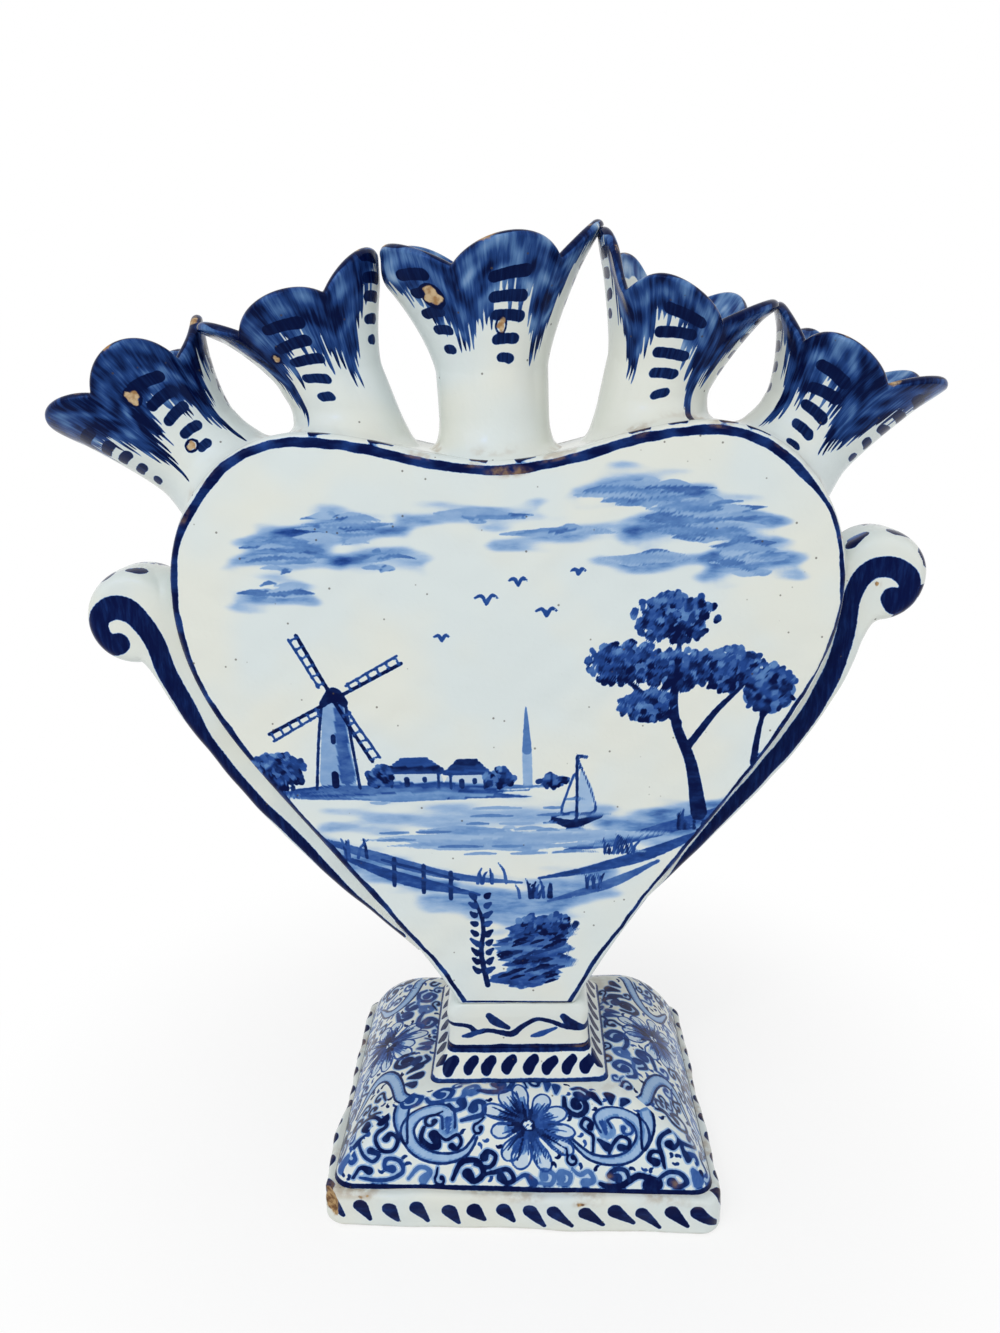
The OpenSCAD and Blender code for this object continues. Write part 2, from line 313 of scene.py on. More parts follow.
    def vine(self, points: Sequence, half: float, tone: float) -> None:
        """Draws a line that thickens into a bulb at its end, in a pale pool of colour.

        Args:
            points: Its middle line.
            half: Half its width.
            tone: Strength of the pigment.
        """
        p = np.asarray(points, float)
        swell = 1.05 * half * np.concatenate([[0.6], np.linspace(0.85, 0.95, len(p) - 2), [1.8]])
        self.stroke(p, swell + 0.35, 0.34 * tone, Layer.FILL)
        self.stroke(p, swell, tone)

    def tendril(self, x: float, y: float, size: float, angle: float, hand: int, tone: float) -> None:
        """Draws a curl: a tail that runs into an open hook of most of a turn.

        Args:
            x: Place across of its middle.
            y: Place up of its middle.
            size: Its radius.
            angle: Way from its middle to where the tail comes in, in degrees.
            hand: 1 to wind to the left, -1 to the right.
            tone: Strength of the pigment.
        """
        radius = size * np.linspace(1.0, 0.42, 8)
        whirl = radians(angle) + hand * np.linspace(0, 1.6 * pi, 8)
        curl = (x, y) + radius[:, None] * heading(whirl)
        tail = curl[0] + 1.5 * (curl[0] - curl[1]) + 0.3 * (curl[0] - [x, y])
        self.vine(np.concatenate([[tail], curl]), 0.23 * size, tone)

    def leaf(self, points: Sequence, half: float, tone: float, rim: float, head: float = 0.28) -> None:
        """Draws a leaf or scroll band: a shaded body that narrows to its ends, outlined dark.

        Args:
            points: Its middle line.
            half: Half its width.
            tone: Strength of its body.
            rim: Strength of its outline.
            head: Angle on a sine wave at which its width starts, from 0 for a point to half pi for blunt.
        """
        p = flow(points, 4)
        swell = half * np.sin(np.linspace(head, pi - 0.12, len(p))) ** 0.7
        way = np.gradient(p, axis=0)
        way /= norm(way, axis=1, keepdims=True)
        side = np.stack([-way[:, 1], way[:, 0]], -1) * swell[:, None]
        self.stroke(p, swell, 1.5 * tone, Layer.FILL)
        self.stroke(p + 0.1 * side, 0.55 * swell, 0.8 * tone, Layer.FILL)
        for hand in (-1, 1):
            self.stroke((p + hand * side)[::2], 0.32, rim)

    def flower(self, x: float, y: float, size: float, squash: float = 1.0) -> None:
        """Draws a double flower: outlined pale petals with radial strokes, a dark middle and a light eye.

        Args:
            x: Place across of its eye.
            y: Place up of its eye.
            size: Its radius across.
            squash: Share of that radius that it has up the chart.
        """
        def spot(turn: float, far: float, aside: float = 0.0) -> Pair:
            """Gives a place by its turn, its share of the radius and its share to the side."""
            return (x + size * (far * cos(turn) - aside * sin(turn)),
                    y + size * squash * (far * sin(turn) + aside * cos(turn)))

        rng, petals = self.rng, 11
        for turn in turns(petals) + rng.normal(0, 0.1, petals):
            long, wide = rng.uniform(0.78, 1.08), rng.uniform(0.78, 1.12)
            for start, end, halves, tone in ((0.3 * long, 0.82 * long, (0.08, 0.16), 0.13),
                                             (0.2, 0.56 * long, (0.07, 0.08), 0.42)):
                self.stroke([spot(turn, start), spot(turn, end)], np.multiply(halves, size), tone, Layer.FILL)
            rim = zip((0.4, 0.68, 0.9, 1.0, 0.9, 0.68, 0.4), (-0.1, -0.19, -0.15, 0.0, 0.15, 0.19, 0.1))
            self.stroke([spot(turn, f * long, w * wide) for f, w in rim], 0.25, 0.72)
            for aside in (-0.13, -0.065, 0.0, 0.065, 0.13):
                tip = spot(turn, rng.uniform(0.5, 0.9) * long, aside)
                self.stroke([spot(turn, 0.22 * long, 0.5 * aside), tip], [0.34, 0.15], rng.uniform(0.6, 0.97))
        for turn in turns(petals + 3):
            self.stroke([spot(turn, 0.1), spot(turn, rng.uniform(0.22, 0.36))], [0.03 * size, 0.05 * size],
                        rng.uniform(0.7, 1.0))
        self.stroke([spot(0, 0.04), spot(pi, 0.04)], 0.11 * size, 0.98)
        for turn in (0.6, 2.4, 4.6):
            self.stroke([spot(turn, 0.06), spot(turn + 0.7, 0.07)], 0.035 * size, 0.04)

    def busy(self, x: float, y: float, far: float) -> bool:
        """Says whether something is painted already within a distance of a place."""
        near = self.picked[np.hypot(self.across - x, self.up - y) < far]
        return any(self.paint.reach[layer][near].max(initial=UNPAINTED) > 0 for layer in Layer)

    def curls(self, edge: Callable[[float], float], box: tuple[float, float, float, float]) -> None:
        """Fills free ground with curls, and what they leave with commas, on shaken grids.

        Args:
            edge: Gives half the ground's width at a place up it.
            box: Least and greatest place across, then up.
        """
        for pitch, size in ((3.9, 1.9), (3.2, 1.55), (2.1, 0.85)):
            for r, y0 in enumerate(np.arange(box[2], box[3], pitch * 0.85)):
                for x0 in np.arange(box[0] + (r % 2) * pitch / 2, box[1], pitch):
                    x, y = np.array([x0, y0]) + self.rng.uniform(-0.16, 0.16, 2) * pitch
                    angle, hand = self.rng.uniform(0, 360), self.rng.choice((-1, 1))
                    tone = self.rng.choice((0.7, 0.85, 0.96))
                    if abs(x) > edge(y) - 0.3 * size or self.busy(x, y, 0.7 * size):
                        continue
                    if size > 1.5:
                        self.tendril(x, y, size * 0.95, angle, hand, tone)
                    else:
                        self.dash(x, y, angle, 2.4 * size, 0.48, tone, bow=0.12)


@dataclass
class Skin:
    """A piece's closed surface: its points, its triangles and its paint."""

    points: Array
    faces: Array
    paint: Paint = field(init=False)

    def __post_init__(self) -> None:
        """Turns the faces outwards, by the sign of the volume that they close in."""
        a, b, c = (self.points[self.faces[:, k]] for k in range(3))
        if np.einsum("ij,ij->i", a, np.cross(b, c)).sum() < 0:
            self.faces = self.faces[:, ::-1]
        self.paint = Paint(len(self.points))

    def stand(self, lift: float) -> "Skin":
        """Moves the upright points to where they stand over the dome."""
        self.points = STANCE.stand(self.points, lift)
        return self

    def hang(self, name: str, node: str, glaze: "Glaze") -> None:
        """Makes the Blender piece that stands for a CAD node.

        Args:
            name: The piece's name.
            node: The node that it replaces.
            glaze: Its finish.
        """
        mesh = bpy.data.meshes.new(name)
        count = len(self.faces)
        mesh.vertices.add(len(self.points))
        mesh.vertices.foreach_set("co", (self.points * MM).astype(np.float32).ravel())
        mesh.loops.add(3 * count)
        mesh.loops.foreach_set("vertex_index", self.faces.astype(np.int32).ravel())
        mesh.polygons.add(count)
        mesh.polygons.foreach_set("loop_start", np.arange(0, 3 * count, 3, dtype=np.int32))
        mesh.update(calc_edges=True)
        mesh.shade_smooth()
        self.paint.store(mesh)
        attach(mesh, node, glaze)


def attach(mesh: bpy.types.Mesh, node: str, glaze: "Glaze") -> None:
    """Puts a finished mesh into the scene in place of a CAD node.

    Args:
        mesh: The mesh, with the piece's name.
        node: The node that it replaces.
        glaze: Its finish.
    """
    piece = bpy.data.objects.new(mesh.name, mesh)
    bpy.context.scene.collection.objects.link(piece)
    mesh.materials.clear()
    mesh.materials.append(glaze.material())
    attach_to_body(piece, "root")
    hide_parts(node)
    LOG.info("%s: %d triangles", piece.name, len(mesh.polygons))


def belts(rows: int, around: int, closed: bool) -> Array:
    """Triangles between neighbouring rows of points that run round.

    Args:
        rows: Rows of points.
        around: Points in each row.
        closed: Whether the last row joins the first.

    Returns:
        The triangles.
    """
    index = np.arange(rows * around).reshape(rows, around)
    last = rows if closed else rows - 1
    a, d = index[:last], np.roll(index, -1, axis=0)[:last]
    b, c = np.roll(a, -1, axis=1), np.roll(d, -1, axis=1)
    return np.concatenate([np.stack([a, b, c], -1).reshape(-1, 3), np.stack([a, c, d], -1).reshape(-1, 3)])


def fan(loop: Array, hub: int) -> Array:
    """Triangles that close a loop of points onto one point."""
    return np.stack([loop, np.roll(loop, -1), np.full(len(loop), hub)], -1)


def tube(rings: Array) -> Skin:
    """Joins rings of points into a tube and closes each end onto its middle.

    Args:
        rings: The rings in rows, with points in the last axis.

    Returns:
        The surface.
    """
    rows, around = rings.shape[:2]
    hubs, loop = rows * around, np.arange(around)
    faces = [belts(rows, around, False), fan(loop[::-1], hubs), fan(loop + hubs - around, hubs + 1)]
    middles = [rings[0].mean(0)[None], rings[-1].mean(0)[None]]
    return Skin(np.concatenate([rings.reshape(-1, 3), *middles]), np.concatenate(faces))


def colour(code: str) -> tuple[float, float, float, float]:
    """Turns a screen colour such as "D8DED9" into linear red, green, blue and alpha."""
    screen = np.array([int(code[k:k + 2], 16) for k in (0, 2, 4)]) / 255
    return (*np.where(screen <= 0.04045, screen / 12.92, ((screen + 0.055) / 1.055) ** 2.4).tolist(), 1.0)


def operator(operation: str, swapped: bool = False) -> Callable[["Value", object], "Value"]:
    """Makes a method that adds one Math node on a socket and a number or another socket.

    Args:
        operation: What the node does.
        swapped: Whether the other value goes first.

    Returns:
        The method.
    """
    def method(self: "Value", other: object) -> "Value":
        """Works on the two in their own order, or swapped."""
        pair = (other, self) if swapped else (self, other)
        return self.tree.add("ShaderNodeMath", {"operation": operation}, dict(enumerate(pair)))
    return method


class Value:
    """A shader socket on which arithmetic adds Math nodes."""

    def __init__(self, tree: "Tree", socket: bpy.types.NodeSocket) -> None:
        """Wraps an output socket of a tree."""
        self.tree, self.socket = tree, socket

    __add__ = __radd__ = operator("ADD")
    __sub__, __rsub__ = operator("SUBTRACT"), operator("SUBTRACT", True)
    __mul__ = __rmul__ = operator("MULTIPLY")
    __gt__, most = operator("GREATER_THAN"), operator("MAXIMUM")


Input = Value | float | Row


class Tree:
    """A node tree that is filled by one method."""

    def __init__(self, tree: bpy.types.NodeTree) -> None:
        """Empties a node tree to fill it."""
        self.tree = tree
        tree.nodes.clear()

    def add(self, kind: str, settings: dict | None = None, inputs: dict | None = None,
            out: int | str = 0) -> Value:
        """Adds a node.

        Args:
            kind: The node's type.
            settings: Its properties, which are set first.
            inputs: Values or links of its sockets, by name or number.
            out: The output wanted.

        Returns:
            That output.
        """
        node = self.tree.nodes.new(kind)
        for name, setting in (settings or {}).items():
            setattr(node, name, setting)
        for key, value in (inputs or {}).items():
            if isinstance(value, Value):
                self.tree.links.new(value.socket, node.inputs[key])
            else:
                node.inputs[key].default_value = value
        return Value(self, node.outputs[out] if len(node.outputs) else None)

    def mix(self, share: Input, a: Input, b: Input) -> Value:
        """Mixes two colours."""
        return self.add("ShaderNodeMix", {"data_type": "RGBA"}, {0: share, 6: a, 7: b}, 2)

    def ease(self, value: Input, low: float, high: float) -> Value:
        """Goes smoothly from 0 at low to 1 at high."""
        return self.add("ShaderNodeMapRange", {"interpolation_type": "SMOOTHSTEP"},
                        {"Value": value, "From Min": low, "From Max": high})

    def noise(self, place: Input, scale: float, detail: float = 2.0, rough: float = 0.5) -> Value:
        """Adds a noise texture."""
        return self.add("ShaderNodeTexNoise", {}, {"Vector": place, "Scale": scale, "Detail": detail,
                                                   "Roughness": rough})

    def read(self, name: str) -> Value:
        """Reads a painted attribute."""
        return self.add("ShaderNodeAttribute", {"attribute_name": name}, {}, "Fac")


@dataclass(frozen=True)
class Glaze:
    """A tin glaze over buff clay, painted with cobalt that goes from pale to near black as it thickens."""

    slot: str
    ground: tuple[str, str] = ("E1E4DB", "DAE3E2")
    blues: tuple[str, ...] = ("A3BEDC", "638DC2", "264A92", "050B3A")
    clay: tuple[str, str] = ("B9996C", "6F4F33")
    stain: str = "9A7B52"
    brush: Triple = (0.9, 0.16, 1.0)
    drag: Triple = (0.5, 0.14, 1.0)
    streak: float = 0.5
    gloss: float = 0.13

    def material(self) -> bpy.types.Material:
        """Gives the finish's material, which is made once.

        The stored reach of a stroke plus fine noise is eased to its cover; covers and tones give the cobalt's
        density, which runs through the blues; bare clay, stain and kiln specks lie over that.

        Returns:
            The material.
        """
        name = f"fired_{self.slot}"
        made = bpy.data.materials.get(name)
        if made:
            return made
        made = bpy.data.materials.new(name)
        made.use_nodes = True
        tree = Tree(made.node_tree)
        place = tree.add("ShaderNodeTexCoord", out="Object")
        chart = tree.add("ShaderNodeAttribute", {"attribute_name": "chart"}, {}, "Vector")
        scaled = (tree.add("ShaderNodeVectorMath", {"operation": "MULTIPLY"}, {0: chart, 1: pull})
                  for pull in (self.brush, self.drag))
        brush, mottle = map(tree.noise, scaled, (1.0, 1.0), (3.0, 4.0), (0.6, 0.58))
        edge = tree.noise(place, 1100.0, 2.0) - 0.5
        fill = tree.ease(tree.read("fill") - REACH_ZERO + edge * 0.35, -0.14, 0.14)
        line = tree.ease(tree.read("line") - REACH_ZERO + edge * 0.26, -0.1, 0.1)
        streaked = (1 - self.streak) + brush * (2 * self.streak)
        wash = tree.read("wash") * (mottle * 1.7 + 0.15)
        under = wash + fill * (tree.read("fill_tone") * streaked - wash)
        inked = tree.read("line_tone") * (0.8 + brush * 0.4)
        density = under + line * (inked - under)
        cloud = tree.ease(tree.noise(place, 38.0), 0.35, 0.65)
        tint = tree.mix(cloud, *map(colour, self.ground))
        for blue, low, high in zip(self.blues, (0.0, 0.14, 0.36, 0.62), (0.24, 0.5, 0.72, 0.98)):
            tint = tree.mix(tree.ease(density, low, high), tint, colour(blue))
        cell = {"Vector": place, "Scale": 420.0}
        speck = tree.ease(tree.add("ShaderNodeTexVoronoi", {}, cell, "Distance"), 0.14, 0.07)
        dice = tree.add("ShaderNodeTexVoronoi", {}, cell, "Color")
        lot = tree.add("ShaderNodeSeparateColor", {}, {0: dice})
        tint = tree.mix(speck * (lot > 0.86) * 0.75, tint, colour("4A4238"))
        soil = tree.read("stain") * tree.ease(tree.noise(place, 520.0, 4.0), 0.32, 0.66) * 0.8
        tint = tree.mix(soil, tint, colour(self.stain))
        bare = tree.ease(tree.read("clay") - REACH_ZERO + edge * 0.6, -0.16, 0.16)
        body = tree.mix(tree.ease(tree.noise(place, 700.0, 4.0), 0.36, 0.64), *map(colour, self.clay))
        tint = tree.mix(bare, tint, body)
        swell = tree.noise(place, 210.0) * 1.0 + tree.noise(place, 1500.0) * 0.1 - bare * 0.9 - speck * 0.1
        bump = tree.add("ShaderNodeBump", {}, {"Strength": 0.3, "Distance": 0.0006, "Height": swell})
        rough = self.gloss + tree.noise(place, 90.0) * 0.1 + bare * 0.55 + soil * 0.2
        shader = tree.add("ShaderNodeBsdfPrincipled", {}, {
            "Base Color": tint, "Roughness": rough, "Normal": bump, "Specular IOR Level": 0.14,
            "Specular Tint": (0.2, 0.4, 1.0, 1.0)})
        tree.add("ShaderNodeOutputMaterial", {}, {"Surface": shader})
        return made


WHITE = Glaze("white_glaze", streak=0.2)
PAINTED = Glaze("painted_glaze", brush=(0.5, 0.22, 1.0), streak=0.34)
BLUE = Glaze("blue_glaze", blues=("9CB6D2", "5B82B4", "22427F", "040A33"), clay=("CDB48E", "A07A50"),
             brush=(1.7, 0.11, 1.0), gloss=0.11)


@dataclass(frozen=True)
class Stance:
    """How collar, neck and body stand on the dome: a little to the left, leaning, the left flank fuller."""

    fuller: float = 1.5
    shift: float = 1.0
    lean: float = radians(1.8)
    dome_top: float = 27.0
    neck_top: float = 18.8

    def stand(self, points: Array, lift: float) -> Array:
        """Lifts points, turns them by the lean about Y and moves them onto the dome.

        Args:
            points: Points in the upright frame.
            lift: Their level over the dome.

        Returns:
            The points in the object's frame.
        """
        x, y, z = points[..., 0], points[..., 1], points[..., 2]
        if lift:
            x = x - self.fuller * ease(0, -40, x) * ease(6, 30, z) * ease(106, 66, z)
        z = z + lift
        c, s = cos(self.lean), sin(self.lean)
        return np.stack([x * c - z * s - self.shift, y, self.dome_top + x * s + z * c], -1)


STANCE = Stance()


class RoundRect:
    """Points round a rectangle with round corners, even at one size, that can be drawn at any size."""

    def __init__(self, wide: float, deep: float, corner: float, count: int) -> None:
        """Places the points.

        Args:
            wide: Width at which their steps are even.
            deep: Depth, likewise.
            corner: Corner radius, likewise.
            count: Number of points.
        """
        straight = np.array([deep, wide, deep, wide]) - 2 * corner
        lengths = np.stack([straight, np.full(4, corner * pi / 2)], -1).ravel()
        ends = np.concatenate([[0], np.cumsum(lengths)])
        run = (np.arange(count) + 0.5) / count * ends[-1]
        part = np.searchsorted(ends, run, side="right") - 1
        t = (run - ends[part]) / lengths[part]
        quarter, turning = part // 2, part % 2 == 1
        signs = np.array([[1, -1], [1, 1], [-1, 1], [-1, -1]], float)
        here, there = signs[quarter], signs[(quarter + 1) % 4]
        self.corner = np.where(turning[:, None], there, blend(here, there, t[:, None]))
        angle = pi / 2 * (quarter + np.where(turning, t, 0.0))
        self.normal = heading(angle)

    def on(self, side: Side) -> Array:
        """Says which points of a ring face a side more than its neighbours."""
        return self.normal @ np.array(side.value[0], float) > 0.7071


def profile_skin(outline: RoundRect, profile: Array, corner: Number) -> Skin:
    """Carries a profile round a rectangle, its last row joined to its first.

    A point is its corner's centre plus the corner radius along the outward normal.

    Args:
        outline: The points round the rectangle.
        profile: Rows of width, depth and height.
        corner: Corner radius, one for all rows or one for each.

    Returns:
        The surface.
    """
    radius = np.broadcast_to(corner, len(profile))[:, None, None]
    flat = outline.corner * (profile[:, None, :2] / 2 - radius) + radius * outline.normal
    height = np.broadcast_to(profile[:, None, 2:], (*flat.shape[:2], 1))
    return Skin(np.concatenate([flat, height], -1).reshape(-1, 3), belts(*flat.shape[:2], True))


def arc_rows(start: Sequence[float], end: Sequence[float], steps: int, first_flat: bool) -> Array:
    """Rounds an edge by a quarter ellipse between two rows of a profile.

    Args:
        start: First row: width, depth and height.
        end: Last row.
        steps: Rows to give.
        first_flat: Whether the sizes change before the height does.

    Returns:
        The rows.
    """
    t = np.linspace(0, pi / 2, steps)
    early, late = np.sin(t), 1 - np.cos(t)
    share = np.stack([early, early, late] if first_flat else [late, late, early], -1)
    return blend(np.array(start, float), np.array(end, float), share)


# Ornament of the base's sides, as places across from the middle and up from the ledge by turns: the scrolls
# of a wide side
SCROLLS = (
    (20.4, 13.5, 19.2, 16, 21.5, 18, 25.1, 18.2, 28.2, 16, 28.8, 12.3, 26.1, 8.5, 21.8, 7, 16.3, 7.6,
     11.7, 11),
    (-16.9, 12.6, -17.2, 16, -20.2, 17.5, -24.4, 16.6, -26.7, 13.1, -25.4, 9.2, -21.8, 7, -17.2, 6.5,
     -12.9, 7.8, -10.5, 10.7),
)
# Canes that start on a corner, for the narrow sides and then for the wide ones
CANES = (
    (26.6, 25.4, 22.4, 23.2, 18, 20.8, 14.8, 18, 14, 14.8, 15.8, 12, 19.2, 9.8, 22.4, 7.8),
    (29, 21.8, 29.3, 19.2, 29.2, 16.4, 28.7, 13.6, 28, 11),
)
# Vines: the tone, half the width, and then the places
VINES = (
    (0.95, 0.8, 18.3, 2.1, 20.1, 1.6, 22.9, 1.7, 25.1, 2.8, 27.3, 4, 29.7, 3.6, 31.9, 2.9, 32, 1.9, 29.6, 2),
    (0.85, 0.6, 25.1, 2.8, 24.5, 4.9, 22.2, 5.2, 20.5, 3.9, 22.4, 3.4),
    (0.85, 0.65, 31.9, 3.4, 34.4, 5, 37.1, 4.8, 38.5, 2.9, 36.5, 1.9, 35, 2.8),
    (0.6, 0.8, 40, 5.3, 41.3, 2.7),
    (0.92, 0.6, 33.5, 6, 33.2, 8.1, 32.5, 11.5, 33.7, 13.9, 36.5, 14.1, 37.5, 12, 36, 10.6, 34.9, 11.5),
    (0.95, 0.6, 32.9, 9.4, 30.9, 9.5, 30, 7.9, 31.5, 7.1),
    (0.85, 0.5, 37.5, 12, 38.2, 9.4, 39.4, 7.7),
    (0.93, 0.5, 20.8, 8.4, 21.9, 10.6, 23.6, 12.3, 25.6, 11.8, 25.4, 10.1, 23.6, 9.9),
    (0.93, 0.6, 18.4, 11.2, 20.4, 9.8),
    (0.93, 0.45, 17, 8.8, 17.2, 11.8, 16.1, 12.6, 14.5, 13.9, 15.6, 15.6, 17.1, 14.8, 16.6, 13.7),
    (0.92, 0.5, 10.8, 20.1, 11.1, 17.3, 13.9, 16.1, 15.9, 17.8, 15.4, 20.1, 13.4, 19.9, 13.6, 18.5),
    (0.85, 0.5, 12.9, 23.2, 14.9, 24.2, 16.8, 22.6, 15.9, 20.9, 14.4, 21.5),
    (0.9, 0.7, 19.5, 19.9, 17.4, 22.6),
    (0.92, 0.75, 21.9, 20.7, 21.7, 23.6),
    (0.9, 0.65, 24.4, 20.6, 25.4, 22.8),
    (0.75, 0.6, 8.9, 20.8, 9, 23),
    (0.75, 0.55, 6.7, 21.2, 6.9, 23.4),
    (0.55, 0.6, 4.2, 1.9, 6.9, 1.8, 7.6, 3.7, 5.3, 4.6, 5.2, 3.2),
    (0.55, 0.6, 8.4, 1.9, 10.8, 1.9, 11.4, 3.8, 9.2, 4.4, 9.2, 3),
    (0.55, 0.6, 11.9, 4.9, 13.7, 3.8, 15.7, 4.6, 16.9, 2.8, 14.8, 2.2),
    (0.75, 0.5, -28.7, 21.5, -27.7, 19.7, -24.6, 20.2, -23.7, 22.6, -25.6, 23.4, -26.6, 22),
    (0.75, 0.5, -22.5, 21.8, -21.3, 19.8, -17.6, 19.8, -16.1, 22.4, -18.4, 24.1, -20.2, 22.9, -19, 21.7),
    (0.6, 0.5, -17.6, 19.6, -13.8, 19.6, -12.9, 22.3, -10.8, 22.9, -9.9, 21.1, -11.4, 20.8),
    (0.8, 0.5, -9.9, 21.1, -6.9, 20.1, -3.2, 20.2, -1.6, 22.5, -4.3, 24.1, -6.3, 22.6, -4.4, 21.7),
    (0.8, 0.45, -17, 18.4, -15.4, 16.6, -13.3, 17.2, -13.9, 18.6),
    (0.8, 0.5, -13.9, 14.1, -11.2, 14.6, -8.6, 15.3, -8.7, 17.6, -10.6, 18, -11, 16.6),
    (0.97, 0.7, -22.8, 13.3, -23.4, 10.7, -21.2, 8.9, -19.4, 9, -20.4, 11.3),
    (0.95, 0.45, -19.6, 11.7, -17.5, 10.2, -14.9, 11.2, -13.9, 9.7, -15, 8.4, -16.2, 8.9),
    (0.95, 0.65, -33.2, 18.2, -35, 16.2, -33.6, 14.9, -32, 16.4, -33.4, 16.9),
    (0.93, 0.5, -32, 16.4, -31.7, 14.4, -33.8, 12.6, -34.3, 10.6, -32.8, 8.3, -30.1, 8.3, -29, 10.6,
     -30.7, 12.4, -31.8, 11),
    (0.85, 0.5, -37.1, 13.6, -37.5, 11.8, -38.5, 9.6, -37, 7.1, -34.9, 5.9, -33.5, 7.3, -35.4, 8.3),
    (0.7, 0.5, -40.6, 9.6, -42, 7, -40.6, 5, -39.1, 6.1, -40.3, 7.2),
    (0.75, 0.55, -38.1, 2.4, -34.5, 1.9, -30.9, 2.2, -27.9, 3.8, -28.8, 6.1, -31.7, 6.4, -32.1, 4.6,
     -30.4, 4.3),
    (0.9, 0.55, -39.7, 2.2, -37.9, 4.5, -35.9, 3.9),
    (0.55, 0.6, -26.7, 2.3, -24, 4.7, -21.4, 3.9, -23.1, 2.2),
    (0.95, 0.7, -16.3, 2.2, -14.1, 5.6, -10.4, 6, -8.9, 3.6, -11.1, 2, -12.6, 3.4),
    (0.93, 0.55, -11, 5.3, -7.3, 4.9, -5.9, 7, -7.7, 7.9, -8.6, 6.8),
    (0.9, 0.6, -8.9, 3.4, -6.3, 3.9, -3.2, 4.5, -1.8, 2.6, -3.4, 1.8, -4.8, 2.8),
    (0.75, 0.6, -1.2, 2.5, 0.9, 3.5, 2.7, 2),
)
# Brown spots of a wide side: place, size and depth
SOILED = ((-24.0, 22.0, 2.4, 0.5), (20.5, 3.6, 1.6, 0.7), (36.0, 3.0, 1.8, 0.7), (2.4, 3.6, 0.9, 0.8))


